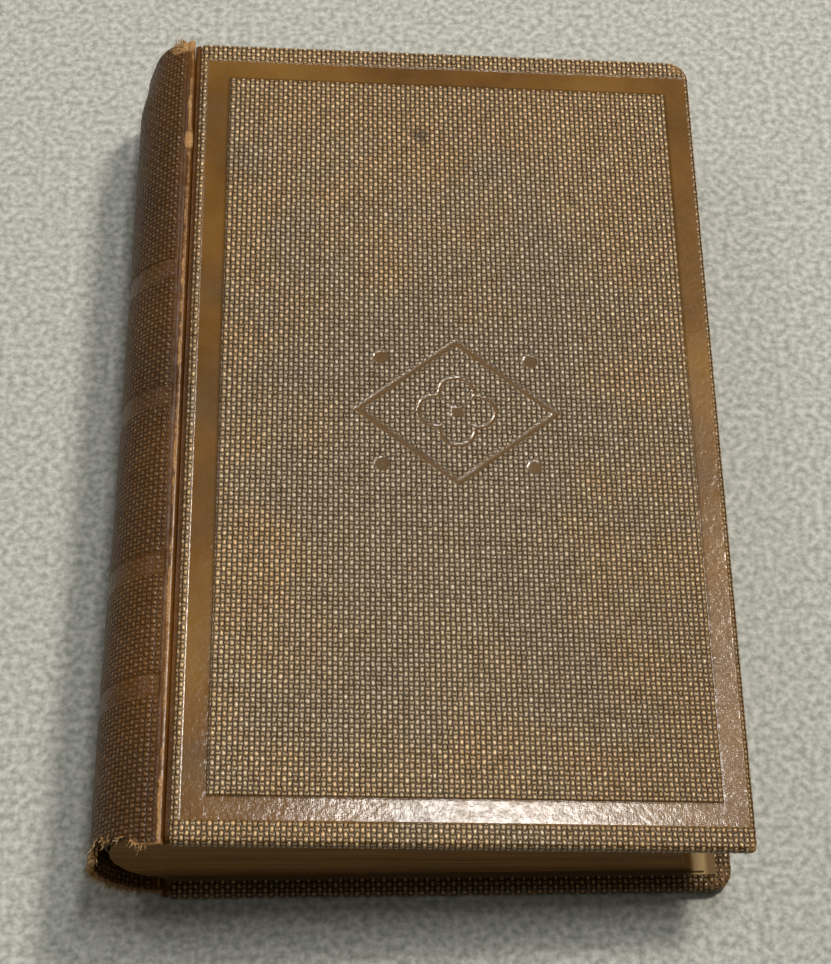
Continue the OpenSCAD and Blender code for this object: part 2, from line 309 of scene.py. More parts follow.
def getAttribute(mesh, key):
    layer = mesh.attributes[key]
    wide = layer.data_type == "FLOAT_VECTOR"
    value = np.zeros(len(mesh.vertices) * (3 if wide else 1), np.float32)
    layer.data.foreach_get("vector" if wide else "value", value)
    return value.reshape(-1, 3).astype(float) if wide else value.astype(float)


def pointsOf(mesh):
    points = np.zeros(len(mesh.vertices) * 3, np.float32)
    mesh.vertices.foreach_get("co", points)
    return points.reshape(-1, 3).astype(float)


def setPoints(mesh, points):
    mesh.vertices.foreach_set("co", np.asarray(points, np.float32).ravel())
    mesh.update()


# Closes what repeats, drops empty faces and turns every face outwards
def tidyMesh(mesh, near=0.002):
    work = bmesh.new()
    work.from_mesh(mesh)
    bmesh.ops.remove_doubles(work, verts=work.verts, dist=near)
    bmesh.ops.dissolve_degenerate(work, edges=work.edges, dist=near / 2)
    bmesh.ops.recalc_face_normals(work, faces=work.faces)
    work.to_mesh(mesh)
    work.free()


def shadeSmooth(mesh):
    mesh.polygons.foreach_set("use_smooth", [True] * len(mesh.polygons))


# Materials
def clothMaterial(name, tones, soil, marks=()):
    # Starch-filled cotton book cloth, dyed brown and pressed between rollers: a dull sheen on the beads,
    # painted highlights on their tops and painted sheen on the net between them, dirt and painted shade
    # in the grooves round them, and bare tan threads where it is rubbed
    material, tree = newMaterial(name)
    place = attribute(tree, "grain", "Vector")
    smooth = attribute(tree, "smooth")
    wear = attribute(tree, "wear")
    mm = placeInMm(tree)
    # dye: golden where it is clean, redder in patches
    patches = noiseOn(tree, mm, 0.03, 4.0, 0.6)
    dye = ramp(tree, patches,
               [(0.3, tones["deep"]), (0.5, tones["main"]), (0.7, tones["pale"])])
    # soil from handling: greyer and darker in the middle of the cover
    offset = vectorCalc(tree, "SUBTRACT", mm, soil["centre"])
    spread = vectorCalc(tree, "DIVIDE", offset, soil["reach"])
    away = vectorCalc(tree, "LENGTH", spread)
    cloud = noiseOn(tree, mm, 0.05, 5.0, 0.6)
    rough = calc(tree, "MULTIPLY_ADD", cloud, 2.6, -1.3)
    edge = calc(tree, "ADD", away.outputs["Value"], rough)
    dirty = mapRange(tree, edge, (1.1, 0.25), (0.0, soil["amount"]), interpolation_type="SMOOTHSTEP")
    grey = mixColours(tree, dirty, dye, linearColour(tones["soil"]))
    # grain: dirt and painted shade in the groove round each bead, painted highlights on the top of each bead;
    # nothing in it is quite regular
    drift = noiseOn(tree, mm, 0.75, 2.0)
    centred = vectorCalc(tree, "SUBTRACT", drift.outputs["Color"], (0.5,) * 3)
    moved = vectorCalc(tree, "MULTIPLY_ADD", centred, (tones["drift"],) * 3, place)
    beadAway = beadDistance(tree, moved, grain["squeeze"])
    highlightStretch = beadDistance(tree, moved, grain["highlightStretch"])
    uneven = noiseOn(tree, mm, 0.55, 3.0, 0.7)
    unevenHighlight = mapRange(tree, uneven, (0.32, 0.6), (0.35, 1.0))
    # painted shade in the groove round each bead, laid over the dirt that lies there
    ring = ramp(tree, beadAway, [(0.0, 0.0), (0.3, 0.05), (0.42, 1.0), (0.57, 0.95), (0.76, 0.15)])
    beads = calc(tree, "SUBTRACT", 1.0, smooth, clamp=True)
    grooveShade = calc(tree, "MULTIPLY", ring, beads)
    # the pressed line round the panel takes the same painted shade as the grooves
    line = attribute(tree, "line")
    grooveShadeAndLine = calc(tree, "MAXIMUM", grooveShade, line)
    dark = calc(tree, "MULTIPLY", grooveShadeAndLine, tones["ring"])
    grooveShaded = mixColours(tree, dark, grey, linearColour(tones["groove"]))
    # painted highlight on the top of each bead, uneven in strength; where the cover is soiled it is weaker
    # and paler, where clean it is golden
    top = mapRange(tree, highlightStretch, (0.45, 0.1), (0.0, tones["topHighlights"]))
    topHighlightUneven = calc(tree, "MULTIPLY", top, unevenHighlight)
    # the painted highlights fade towards the fore-edge and tail corner, where the net carries painted sheen
    # instead
    parts = addNode(tree, "ShaderNodeSeparateXYZ", {0: mm})
    toFore = mapRange(tree, parts, (8.0, 44.0))
    toTail = mapRange(tree, parts.outputs[1], (15.0, -55.0))
    corner = calc(tree, "MULTIPLY", toFore, toTail)
    greyed = mapRange(tree, dirty, (0.0, 0.8), (1.0, 0.7))
    cornerHighlightCut = mapRange(tree, corner, (0.0, 1.0), (1.0, 0.65))
    highlightScale = calc(tree, "MULTIPLY", cornerHighlightCut, greyed)
    topHighlightSoiled = calc(tree, "MULTIPLY", topHighlightUneven, highlightScale)
    topHighlightHeld = calc(tree, "MULTIPLY", topHighlightSoiled, beads)
    topHighlightTone = mixColours(tree, dirty, linearColour(tones["topHighlightClean"]), linearColour(tones["top"]))
    topHighlights = mixColours(tree, topHighlightHeld, grooveShaded, topHighlightTone)
    # painted sheen on the net between the beads, stronger towards the tail
    net = mapRange(tree, beadAway, (0.6, 0.85), (0.0, tones["netSheenAmount"]))
    tailSheen = mapRange(tree, toTail, (0.0, 1.0), (1.0, 1.5))
    netSheenTowardTail = calc(tree, "MULTIPLY", net, tailSheen)
    netSheenHeld = calc(tree, "MULTIPLY", netSheenTowardTail, beads, clamp=True)
    withNetSheen = mixColours(tree, netSheenHeld, topHighlights, linearColour(tones["net"]))
    # single marks: ink, and a place rubbed pale
    marked = withNetSheen
    for centre, reach, colour, amount in marks:
        shift = vectorCalc(tree, "MULTIPLY_ADD", drift.outputs["Color"], (reach * 1.6,) * 3, mm)
        middle = tuple(c + reach * 0.8 for c in centre)
        far = vectorCalc(tree, "DISTANCE", shift, middle)
        cover = mapRange(tree, far.outputs["Value"], (reach, reach * 0.4), (0.0, amount))
        marked = mixColours(tree, cover, marked, linearColour(colour))
    # wear: threads bared along edges, broken up by noise
    scuff = noiseOn(tree, mm, 0.9, 6.0, 0.7)
    bare = calc(tree, "ADD", wear, scuff)
    bared = mapRange(tree, bare, (0.82, 1.3), (0.0, 0.95), interpolation_type="SMOOTHSTEP")
    weave = noiseOn(tree, mm, 3.2, 2.0)
    thread = ramp(tree, weave, [(0.35, tones["bareDeep"]), (0.65, tones["bare"])])
    colour = mixColours(tree, bared, marked, thread)
    # relief: beads again at full sharpness, and the weave of the cotton under them, about 0.35 mm a thread
    share = calc(tree, "DIVIDE", beadAway, netReach, clamp=True)
    curve = setCurve(addNode(tree, "ShaderNodeFloatCurve", {"Value": share}), beadProfile)
    relief = calc(tree, "MULTIPLY", curve, beads)
    beadBump = bumpOn(tree, relief, 1.0, 0.00018)
    turned = addNode(tree, "ShaderNodeMapping", {"Vector": place, "Rotation": (0, 0, 0.06)})
    warp = addNode(tree, "ShaderNodeTexWave", {"Vector": turned, "Scale": 0.9, "Distortion": 1.2,
                                               "Detail": 1.0, "Detail Scale": 2.0}, bands_direction="X")
    weft = addNode(tree, "ShaderNodeTexWave", {"Vector": turned, "Scale": 0.9, "Distortion": 1.2,
                                               "Detail": 1.0, "Detail Scale": 2.0}, bands_direction="Y")
    woven = calc(tree, "MAXIMUM", warp.outputs["Fac"], weft.outputs["Fac"])
    fine = mapRange(tree, smooth, (0.0, 1.0), (0.3, 0.06))
    threadBump = bumpOn(tree, woven, fine, 0.00003, beadBump)
    grit = noiseOn(tree, mm, 1.6, 5.0, 0.65)
    crinkle = noiseOn(tree, mm, 0.8, 3.0, 0.6)
    creased = calc(tree, "MULTIPLY", crinkle, smooth)
    creaseBump = bumpOn(tree, creased, 0.45, 0.0001, threadBump)
    gritBump = bumpOn(tree, grit, fine, 0.00006, creaseBump)
    # gloss: the pressed glaze is rubbed dull where it is dirty or bare
    gloss = mapRange(tree, grit, (0.3, 0.7), (tones["glossy"], tones["dull"]))
    pressed = calc(tree, "MULTIPLY_ADD", smooth, -tones["glaze"], gloss)
    dulled = calc(tree, "MULTIPLY_ADD", bared, 0.35, pressed, clamp=True)
    # the grooves, where the colour holds dirt and painted shade, and bare threads have no glaze
    matt = calc(tree, "MAXIMUM", dark, bared)
    shine = mapRange(tree, matt, (0.0, 0.9), (1.0, 0.1))
    glazed = calc(tree, "MULTIPLY", shine, tones["coat"])
    patchy = mapRange(tree, uneven, (0.35, 0.6), (0.35, 1.0))
    kept = calc(tree, "MULTIPLY", glazed, patchy)
    sharp = mapRange(tree, smooth, (0.0, 1.0), (tones["satin"], tones["polish"]))
    under = mapRange(tree, smooth, (0.0, 1.0), (tones["level"], tones["level"] * 0.2))
    level = calc(tree, "MULTIPLY", under, shine)
    surface = addNode(tree, "ShaderNodeBsdfPrincipled", {"Base Color": colour, "Roughness": dulled,
                                                         "Normal": gritBump, "IOR": 1.5,
                                                         "Specular IOR Level": level, "Coat Weight": kept,
                                                         "Coat Roughness": sharp, "Coat IOR": 1.6,
                                                         "Coat Normal": gritBump})
    addNode(tree, "ShaderNodeOutputMaterial", {"Surface": surface})
    return material


clothTones = {
    "deep": "#573a11",
    "main": "#714e1b",
    "pale": "#83602a",
    "soil": "#5f4b31",
    # the groove colour and the ring strength below: dirt and painted shade in the grooves
    "groove": "#1f1104",
    "ring": 1.0,
    # the top colours and their strength below: painted highlights on the beads
    "top": "#f2e5cd",
    "topHighlightClean": "#efcb95",
    "topHighlights": 0.95,
    # the net colour and its strength below: painted sheen between the beads
    "net": "#cbb287",
    "netSheenAmount": 0.68,
    "drift": 0.5,        # mm, how far the grain strays
    "bare": "#c9a577",
    "bareDeep": "#94683c",
    "glossy": 0.3,
    "dull": 0.45,
    "glaze": 0.12,       # the stamped bands are pressed smoother than the grain
    "coat": 1.0,         # starch glaze, satin on the beads and polished where the stamp pressed it
    "level": 0.5,
    "satin": 0.3,
    "polish": 0.11,
}
# the spine's cloth: redder than the covers' by its own dye, and darker as painted shade for its side turned
# from the lamps, with less painted highlight on the beads and net
spineDyeAndShadeTones = dict(clothTones, deep="#3d2304", main="#57340a", pale="#6a4312", top="#a17a45",
                  topHighlightClean="#a17a45", topHighlights=0.35, netSheenAmount=0.1, ring=0.7, coat=0.65, level=0.15, glossy=0.42,
                  dull=0.55, polish=0.26)
coverSoil = {"centre": (5.0, -12.0, 20.0), "reach": (56.0, 90.0, 200.0), "amount": 0.8}
backSoil = dict(coverSoil, amount=0.45)
spineSoil = {"centre": (-62.0, 0.0, 14.0), "reach": (6.0, 70.0, 12.0), "amount": 0.6}

coverMarks = (((1.9, 68.0, 25.5), 2.4, "#33291c", 0.7), ((12.8, 43.2, 25.5), 1.2, "#3a2c1c", 0.6),
              ((33.0, 50.1, 24.5), 2.0, "#c2a36b", 0.45))
frontClothFinish = clothMaterial("pressedBookCloth", clothTones, coverSoil, coverMarks)
# the back cover's cloth carries less painted highlight on the beads and net, which leaves its edges dark as
# painted shade
backShadedTones = dict(clothTones, topHighlights=0.35, netSheenAmount=0.1)
backClothFinish = clothMaterial("pressedBookClothBack", backShadedTones, backSoil)
spineClothFinish = clothMaterial("pressedBookClothSpine", spineDyeAndShadeTones, spineSoil)
print("materials made")


# Covers
stamp = {
    "depth": 0.15,
    "fillet": 0.16,      # the line at the band's edges is pressed a little deeper
    "lip": 0.16,
    "width": 4.7,
    "end": 4.5,
    "joint": 1.4,
    "fore": 1.0,
}
ornament = {"width": 42.0, "height": 34.0, "line": 1.3, "petal": 4.0, "roundel": 1.6, "share": 0.36}
bandX = (case["boardIn"] + stamp["joint"], case["width"] - stamp["fore"])
bandY = (stamp["end"], case["height"] - stamp["end"])
panelX = (bandX[0] + stamp["width"], bandX[1] - stamp["width"])
panelY = (bandY[0] + stamp["width"], bandY[1] - stamp["width"])


def rectangleDistance(x, y, spanX, spanY):
    dx = np.abs(x - sum(spanX) / 2) - (spanX[1] - spanX[0]) / 2
    dy = np.abs(y - sum(spanY) / 2) - (spanY[1] - spanY[0]) / 2
    return np.hypot(np.maximum(dx, 0), np.maximum(dy, 0)) + np.minimum(np.maximum(dx, dy), 0)


# Signed distance from the pressed band, less than 0 inside it
def bandDistance(x, y):
    return np.maximum(rectangleDistance(x, y, bandX, bandY), -rectangleDistance(x, y, panelX, panelY))


# Signed distance from the lozenge, its flower and the four roundels
def ornamentDistance(x, y):
    cx = x - sum(panelX) / 2
    cy = y - case["height"] / 2
    w, h = ornament["width"] / 2, ornament["height"] / 2
    outside = (np.abs(cx) / w + np.abs(cy) / h - 1) * w * h / math.hypot(w, h)
    found = np.abs(outside + ornament["line"] / 2) - ornament["line"] / 2
    reach = ornament["petal"] * 1.05
    band = ornament["line"] * 0.7
    petals = np.full(x.shape, 1e3)
    holes = np.full(x.shape, 1e3)
    for dx, dy in ((reach, 0), (-reach, 0), (0, reach), (0, -reach)):
        away = np.hypot(cx - dx, cy - dy)
        petals = np.minimum(petals, away - ornament["petal"])
        holes = np.minimum(holes, away - ornament["petal"] + band)
    found = np.minimum(found, np.maximum(petals, -holes))
    found = np.minimum(found, np.hypot(cx, cy) - ornament["line"])
    dots = np.hypot(np.abs(cx) - ornament["width"] * ornament["share"],
                    np.abs(cy) - ornament["height"] * ornament["share"])
    return np.minimum(found, dots - ornament["roundel"])


# Grid lines: a quarter of the grain's pitch apart, with three lines at each edge of the stamping
def gridLines(low, high, step, edges):
    marks = [low, high] + [e + s for e in edges for s in (-stamp["lip"], 0, stamp["lip"])]
    marks = sorted(m for m in marks if low <= m <= high)
    lines = np.arange(math.ceil(low / step) * step, high, step)
    free = [v for v in lines if min(abs(v - m) for m in marks) > step * 0.3]
    return np.array(sorted(marks + free))


def coverMesh(name, radii, pressed):
    jointEdge = case["boardIn"] - case["cloth"]
    r = case["edgeRound"]
    width, height = case["width"], case["height"]
    us = gridLines(jointEdge + r, width - r, grain["across"] / 4, bandX + panelX)
    ys = gridLines(r, height - r, grain["along"] / 4, bandY + panelY)
    nu, ny = len(us), len(ys)
    gu, gy = np.meshgrid(us, ys, indexing="ij")
    # corners at the fore-edge: the square grid is drawn in to the round outline
    for radius, cornerY, way in ((radii[0], 0.0, 1), (radii[1], height, -1)):
        q = radius - r
        if q <= 0.05:
            continue
        dx = np.maximum(gu - (width - radius), 0)
        dy = np.maximum(radius - way * (gy - cornerY), 0)
        inCorner = (dx > 0) & (dy > 0)
        far = np.maximum(dx, dy)
        length = np.maximum(np.hypot(dx, dy), 1e-9)
        part = (far / q) ** 2
        scale = np.where(inCorner, 1 - part + part * far / length, 1)
        gu = np.where(inCorner, width - radius + dx * scale, gu)
        gy = np.where(inCorner, cornerY + way * (radius - dy * scale), gy)
    points = [np.stack([gu.ravel(), gy.ravel(), np.zeros(nu * ny)], 1)]
    grains = [points[0].copy()]
    ids = np.arange(nu * ny).reshape(nu, ny)
    faces = [(ids[i, j], ids[i + 1, j], ids[i + 1, j + 1], ids[i, j + 1])
             for i in range(nu - 1) for j in range(ny - 1)]
    # border of the face, once round: tail, fore-edge, head, joint
    border = [(i, 0) for i in range(nu - 1)] + [(nu - 1, j) for j in range(ny - 1)]
    border += [(i, ny - 1) for i in range(nu - 1, 0, -1)] + [(0, j) for j in range(ny - 1, 0, -1)]
    side = np.array([0] * (nu - 1) + [1] * (ny - 1) + [2] * (nu - 1) + [3] * (ny - 1))
    bi = np.array([b[0] for b in border])
    bj = np.array([b[1] for b in border])
    bu, by = us[bi], ys[bj]
    # place of each border point at a distance inside the outline
    def inset(e):
        x = np.where(side == 1, width - e, np.where(side == 3, jointEdge + e, bu))
        y = np.where(side == 0, e, np.where(side == 2, height - e, by))
        x = np.where((side == 1) | (side == 3), x, np.clip(bu, jointEdge, width - e))
        y = np.where((side == 0) | (side == 2), y, np.clip(by, e, height - e))
        # the last tail point before the joint, and the first head point, stay at the joint's edge
        for radius, cornerY, way in ((radii[0], 0.0, 1), (radii[1], height, -1)):
            q = radius - r
            dx = bu - (width - radius)
            dy = radius - way * (by - cornerY)
            near = (dx > 0) & (dy > 0) & (q > 0.05)
            if e < radius:
                length = np.maximum(np.hypot(dx, dy), 1e-9)
                x = np.where(near, width - radius + (radius - e) * dx / length, x)
                y = np.where(near, cornerY + way * (radius - (radius - e) * dy / length), y)
            else:
                x = np.where(near, width - e, x)
                y = np.where(near, cornerY + way * e, y)
        return x, y
    arcs = [(r * (1 - math.sin(a)), r * (1 - math.cos(a))) for a in (math.pi / 4, math.pi / 2)]
    depth = case["coverDepth"]
    rings = arcs + [(0.0, depth / 2), (0.0, depth - r)]
    rings += [(r * (1 - math.cos(a)), depth - r * (1 - math.sin(a)))
              for a in (math.pi / 6, math.pi / 3, math.pi / 2)]
    rings.append((case["turnIn"], depth))
    first = len(rings)
    inner = case["boardIn"]
    rings += [(case["turnIn"], depth - case["cloth"]), (case["cloth"], depth - case["cloth"]),
              (case["cloth"], case["cloth"])]
    groove = case["grooveDepth"]
    joint = [(jointEdge + e, d) for e, d in arcs]
    joint += [(jointEdge - 0.08, groove), (0.15, groove + 0.05), (0.15, groove + case["cloth"]),
              (inner - 0.1, groove + case["cloth"]), (inner - 0.05, depth)]
    joint += [(inner - 0.05, depth), (inner - 0.05, depth), (inner, depth - case["cloth"]),
              (inner, case["cloth"])]
    last = ids[bi, bj]
    run = 0.0
    before = (r, 0.0)
    count = nu * ny
    alongX = np.where(side == 1, 1.0, np.where(side == 3, -1.0, 0.0))
    alongY = np.where(side == 0, -1.0, np.where(side == 2, 1.0, 0.0))
    hidden = [np.zeros(nu * ny)]
    turned = len(rings) - 4
    coarse = [np.zeros(nu * ny)]
    for k, (e, d) in enumerate(rings):
        x, y = inset(e)
        coarse.append(np.full(x.shape, 1.0 if k >= turned else 0.0))
        z = np.full(x.shape, -d)
        atJoint = side == 3
        x = np.where(atJoint, joint[k][0], x)
        z = np.where(atJoint, -joint[k][1], z)
        # the two ends of the joint side lie on the tail and head edges
        run += math.hypot(e - before[0], d - before[1])
        before = (e, d)
        points.append(np.stack([x, y, z], 1))
        if k < turned - 1:
            grains.append(np.stack([bu + alongX * run, by + alongY * run, np.zeros(x.shape)], 1))
        else:
            grains.append(np.stack([x, y, np.zeros(x.shape)], 1))
        hidden.append(np.full(x.shape, 1.0 if k >= first else 0.0))
        ring = count + np.arange(len(x))
        count += len(x)
        following = np.roll(np.arange(len(x)), -1)
        faces += [(last[a], ring[a], ring[b], last[b]) for a, b in zip(range(len(x)), following)]
        last = ring
    faces.append(tuple(last))
    points = np.concatenate(points)
    mesh = meshFrom(name, points, faces, grain=np.concatenate(grains), hidden=np.concatenate(hidden),
                    coarse=np.concatenate(coarse))
    tidyMesh(mesh)
    if pressed:
        refineOrnament(mesh)
    return mesh


# Halves the grid beside the ornament's lines
def refineOrnament(mesh):
    work = bmesh.new()
    work.from_mesh(mesh)
    middle = np.array([f.calc_center_median() for f in work.faces])
    near = (np.abs(ornamentDistance(middle[:, 0], middle[:, 1])) < 0.4) & (np.abs(middle[:, 2]) < 0.01)
    work.faces.ensure_lookup_table()
    chosen = [work.faces[i] for i in np.nonzero(near)[0]]
    edges = list({e for f in chosen for e in f.edges})
    bmesh.ops.subdivide_edges(work, edges=edges, cuts=1, use_grid_fill=True)
    work.to_mesh(mesh)
    work.free()


def coverCloth(name, place, radii, pressed, dents):
    mesh = coverMesh(name, radii, pressed)
    p = pointsOf(mesh)
    hidden = getAttribute(mesh, "hidden")
    onFace = np.abs(p[:, 2]) < 0.01
    s = bandDistance(p[:, 0], p[:, 1])
    sink = np.interp(s, [-stamp["lip"], 0, stamp["lip"]], [stamp["depth"], stamp["fillet"], 0])
    smooth = np.clip(0.5 - (s - 0.1) / 0.3, 0, 1)
    if pressed:
        t = ornamentDistance(p[:, 0], p[:, 1])
        sink = np.maximum(sink, np.interp(t, [-0.2, 0.12], [stamp["depth"], 0]))
        smooth = np.maximum(smooth, np.clip(0.5 - t / 0.3, 0, 1))
    p[:, 2] -= np.where(onFace, sink, 0)
    smooth = np.where(onFace, smooth, 0)
    smooth = np.maximum(smooth, hidden)
    # the cloth that dips into the joint is rubbed flat, and so are the edges of the board
    smooth = np.maximum(smooth, np.clip((1.1 - p[:, 0]) / 0.3, 0, 1))
    out = -rectangleDistance(p[:, 0], p[:, 1], (case["boardIn"], case["width"]), (0, case["height"]))
    edge = np.exp(-(np.maximum(out, 0) / 0.8) ** 2) * (p[:, 2] > -case["coverDepth"] + 0.3)
    wear = 0.42 * edge
    for (cx, cy), reach, amount in dents:
        wear = np.maximum(wear, amount * np.exp(-((p[:, 0] - cx) ** 2 + (p[:, 1] - cy) ** 2) / reach ** 2))
    # painted shade in the pressed line round the panel
    panel = rectangleDistance(p[:, 0], p[:, 1], panelX, panelY)
    setAttribute(mesh, "line", np.where(onFace, 0.95 * np.exp(-(panel / 0.17) ** 2), 0))
    setAttribute(mesh, "smooth", smooth)
    setAttribute(mesh, "wear", wear)
    setPoints(mesh, place(p))
    tidyMesh(mesh, 2e-6)
    return mesh


frontDents = [((case["width"], 0.0), 2.2, 0.8), ((case["width"] - 1.5, case["height"] - 1.5), 4.0, 0.6)]
backDents = [((case["width"] - 1.0, 1.0), 5.0, 0.55), ((case["width"], case["height"]), 3.0, 0.6)]
clothTree = pressedGrainTree(frontClothFinish)
backTree = pressedGrainTree(backClothFinish)
frontMesh = coverCloth("frontCoverCloth", frontPlace, (1.3, 4.6), True, frontDents)
frontCover = grown(addObject("frontCoverCloth", frontMesh, frontClothFinish), clothTree)
backMesh = coverCloth("backCoverCloth", backPlace, (4.2, 1.3), False, backDents)
backCover = grown(addObject("backCoverCloth", backMesh, backClothFinish), backTree, {"Seed": 11})
for cover, body, node in ((frontCover, "front_cover", "front_cloth"), (backCover, "back_cover",
                                                                       "back_cloth")):
    shadeSmooth(cover.data)
    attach(cover, body)
    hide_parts(node)
print("covers made", [len(o.data.polygons) for o in (frontCover, backCover)])


# Spine
spine = {
    "bulge": 12.4,
    "sink": 0.4,         # below the outer face of each cover
    "gap": 0.3,
    "ridge": 0.9,        # roll of cloth beside each joint
    "skew": 0.45,
    "stiffener": 0.5,
    "turnIn": 12.0,
    "rise": 1.5,
    "ribs": (31.1, 56.3, 93.7, 124.0),
    "ribWidth": 4.6,
    "plain": (2.2, 3.0),     # beads start this far round from the hinge line, at the tail and at the head
    "valley": 0.32,      # hollow between the roll and the shoulder
    "tailSwell": 0.55,   # how far the worn spine bulges at the tail and sinks at the head
    "headSink": 1.9,
    "tailFlare": 0.35,
    "patch": 156.5,      # bare patch on the roll, from the tail
    "tear": (1.5, 30.0, 1.9),     # place from the tail, turn, radius
    "worn": (-5.2, 49.0, 7.0),    # the same for the hollow worn in the tail edge
}
spineEnd = case["height"] + spine["rise"]
jointTop = np.array([-spine["gap"] / 2, case["thick"] - spine["sink"]])
jointLow = np.array([-spine["gap"] / 2 - case["lean"], spine["sink"]])
chord = jointTop - jointLow
halfChord = np.linalg.norm(chord) / 2
spineRadius = (halfChord ** 2 + spine["bulge"] ** 2) / (2 * spine["bulge"])
spineCentre = (jointTop + jointLow) / 2 + np.array([chord[1], -chord[0]]) / np.linalg.norm(chord) * (
    spineRadius - spine["bulge"])
rollTop = np.array([jointTop[0] - spine["ridge"], 0.0])
rollLow = np.array([jointLow[0] - spine["ridge"], 0.0])
rollTop[1] = spineCentre[1] + math.sqrt(spineRadius ** 2 - (rollTop[0] - spineCentre[0]) **
                                        2) - spine["ridge"]
rollLow[1] = spineCentre[1] - math.sqrt(spineRadius ** 2 - (rollLow[0] - spineCentre[0]) **
                                        2) + spine["ridge"]


# Section of the spine from the front joint to the back one: points, outward directions and lengths
def spineSection(step):
    def arc(centre, radius, start, end):
        a = np.linspace(start, end, max(8, int(abs(end - start) * radius / 0.05)))
        way = np.stack([np.cos(a), np.sin(a)], 1)
        return centre + radius * way, way
    top = rollTop + np.array([0, spine["ridge"]]) - spineCentre
    low = rollLow - np.array([0, spine["ridge"]]) - spineCentre
    start, end = math.atan2(top[1], top[0]), math.atan2(low[1], low[0]) + 2 * math.pi
    parts = [arc(rollTop, spine["ridge"], 0, math.pi / 2),
             arc(spineCentre, spineRadius, start, end),
             arc(rollLow, spine["ridge"], 1.5 * math.pi, 2 * math.pi)]
    points = np.concatenate([q[0] for q in parts])
    ways = np.concatenate([q[1] for q in parts])
    gone = np.concatenate([[0], np.cumsum(np.linalg.norm(np.diff(points, axis=0), axis=1))])
    marks = np.linspace(0, gone[-1], int(round(gone[-1] / step)) + 1)
    points = np.stack([np.interp(marks, gone, points[:, i]) for i in (0, 1)], 1)
    ways = np.stack([np.interp(marks, gone, ways[:, i]) for i in (0, 1)], 1)
    return points, ways / np.linalg.norm(ways, axis=1)[:, None], marks


# How far the worn cloth stands off the true arc, in mm along the outward direction
def spineSwell(s, y, z, length):
    near = np.minimum(s, length - s)
    swell = -spine["valley"] * np.exp(-((near - 3.0) / 0.6) ** 2)
    swell = swell + spine["tailSwell"] * (1 - ease((y - 20) / 70)) * np.exp(-((z - 14) / 9) ** 2)
    swell = swell - spine["headSink"] * ease((y - 170) / 13) * np.exp(-((z - 19) / 7) ** 2)
    swell = swell + spine["tailFlare"] * (1 - ease(y / 5)) * ease((near - 4) / 5)
    return swell


# Rows of (place along the book, depth below the outer face), each a number or one value per column
def spineRows(name, section, rows, closed=True):
    points, ways, marks = section
    length = marks[-1]
    n = len(marks)
    near = np.minimum(marks, length - marks)
    free = ease((near - 1.4) / 5)
    made, values = [], {key: [] for key in ("grain", "smooth", "wear")}
    for y, depth, inside in rows:
        y = np.zeros(n) + y
        depth = np.zeros(n) + depth
        off = spineSwell(marks, y, points[:, 1], length) - depth
        leaning = math.tan(math.radians(spine["skew"])) * (y - case["height"] / 2)
        x = points[:, 0] + ways[:, 0] * off + free * leaning
        made.append(np.stack([x, y, points[:, 1] + ways[:, 1] * off], 1))
        values["grain"].append(np.stack([marks, y, np.zeros(n)], 1))
        values["smooth"].append(np.full(n, float(inside)))
        values["wear"].append(np.zeros(n))
    faces = []
    for k in range(len(rows) if closed else len(rows) - 1):
        a, b = k * n, (k + 1) % len(rows) * n
        faces += [(a + i, a + i + 1, b + i + 1, b + i) for i in range(n - 1)]
    if closed:
        faces.append(tuple(k * n for k in range(len(rows))))
        faces.append(tuple(k * n + n - 1 for k in range(len(rows))))
    mesh = meshFrom(name, np.concatenate(made), faces, **{k: np.concatenate(v) for k, v in values.items()})
    return mesh, length


# Uneven plug that points from the spine's axis through the cloth
def tearCutter(name, y, turn, radius, uneven):
    a = math.radians(turn)
    way = np.array([-math.cos(a), 0, math.sin(a)])
    side = np.array([math.sin(a), 0, math.cos(a)])
    up = np.array([0.0, 1.0, 0.0])
    count = 90
    points = []
    for reach in (spineRadius - 3.2, spineRadius + 2.5):
        for k in range(count):
            t = 2 * math.pi * k / count
            at = (math.cos(t) * radius, math.sin(t) * radius)
            r = radius + uneven * (noise.noise(Vector((at[0] * 0.8, at[1] * 0.8, turn)))
                                   + 0.6 * noise.noise(Vector((at[0] * 2.5, at[1] * 2.5, turn))))
            centre = np.array([spineCentre[0], y, spineCentre[1]]) + way * reach
            points.append(centre + side * r * math.cos(t) + up * r * math.sin(t))
    faces = [tuple(range(count)), tuple(range(2 * count - 1, count - 1, -1))]
    faces += [(k, k + count, (k + 1) % count + count, (k + 1) % count) for k in range(count)]
    mesh = meshFrom(name, toFrame(np.array(points)), faces)
    tidyMesh(mesh, 1e-7)
    return addObject(name, mesh)


def combine(obj, other, operation):
    modifier = obj.modifiers.new("tear", "BOOLEAN")
    modifier.object = other
    modifier.operation = operation
    modifier.solver = "EXACT"
    bpy.context.view_layer.update()
    obj.data = bpy.data.meshes.new_from_object(obj.evaluated_get(bpy.context.evaluated_depsgraph_get()))
    obj.modifiers.clear()


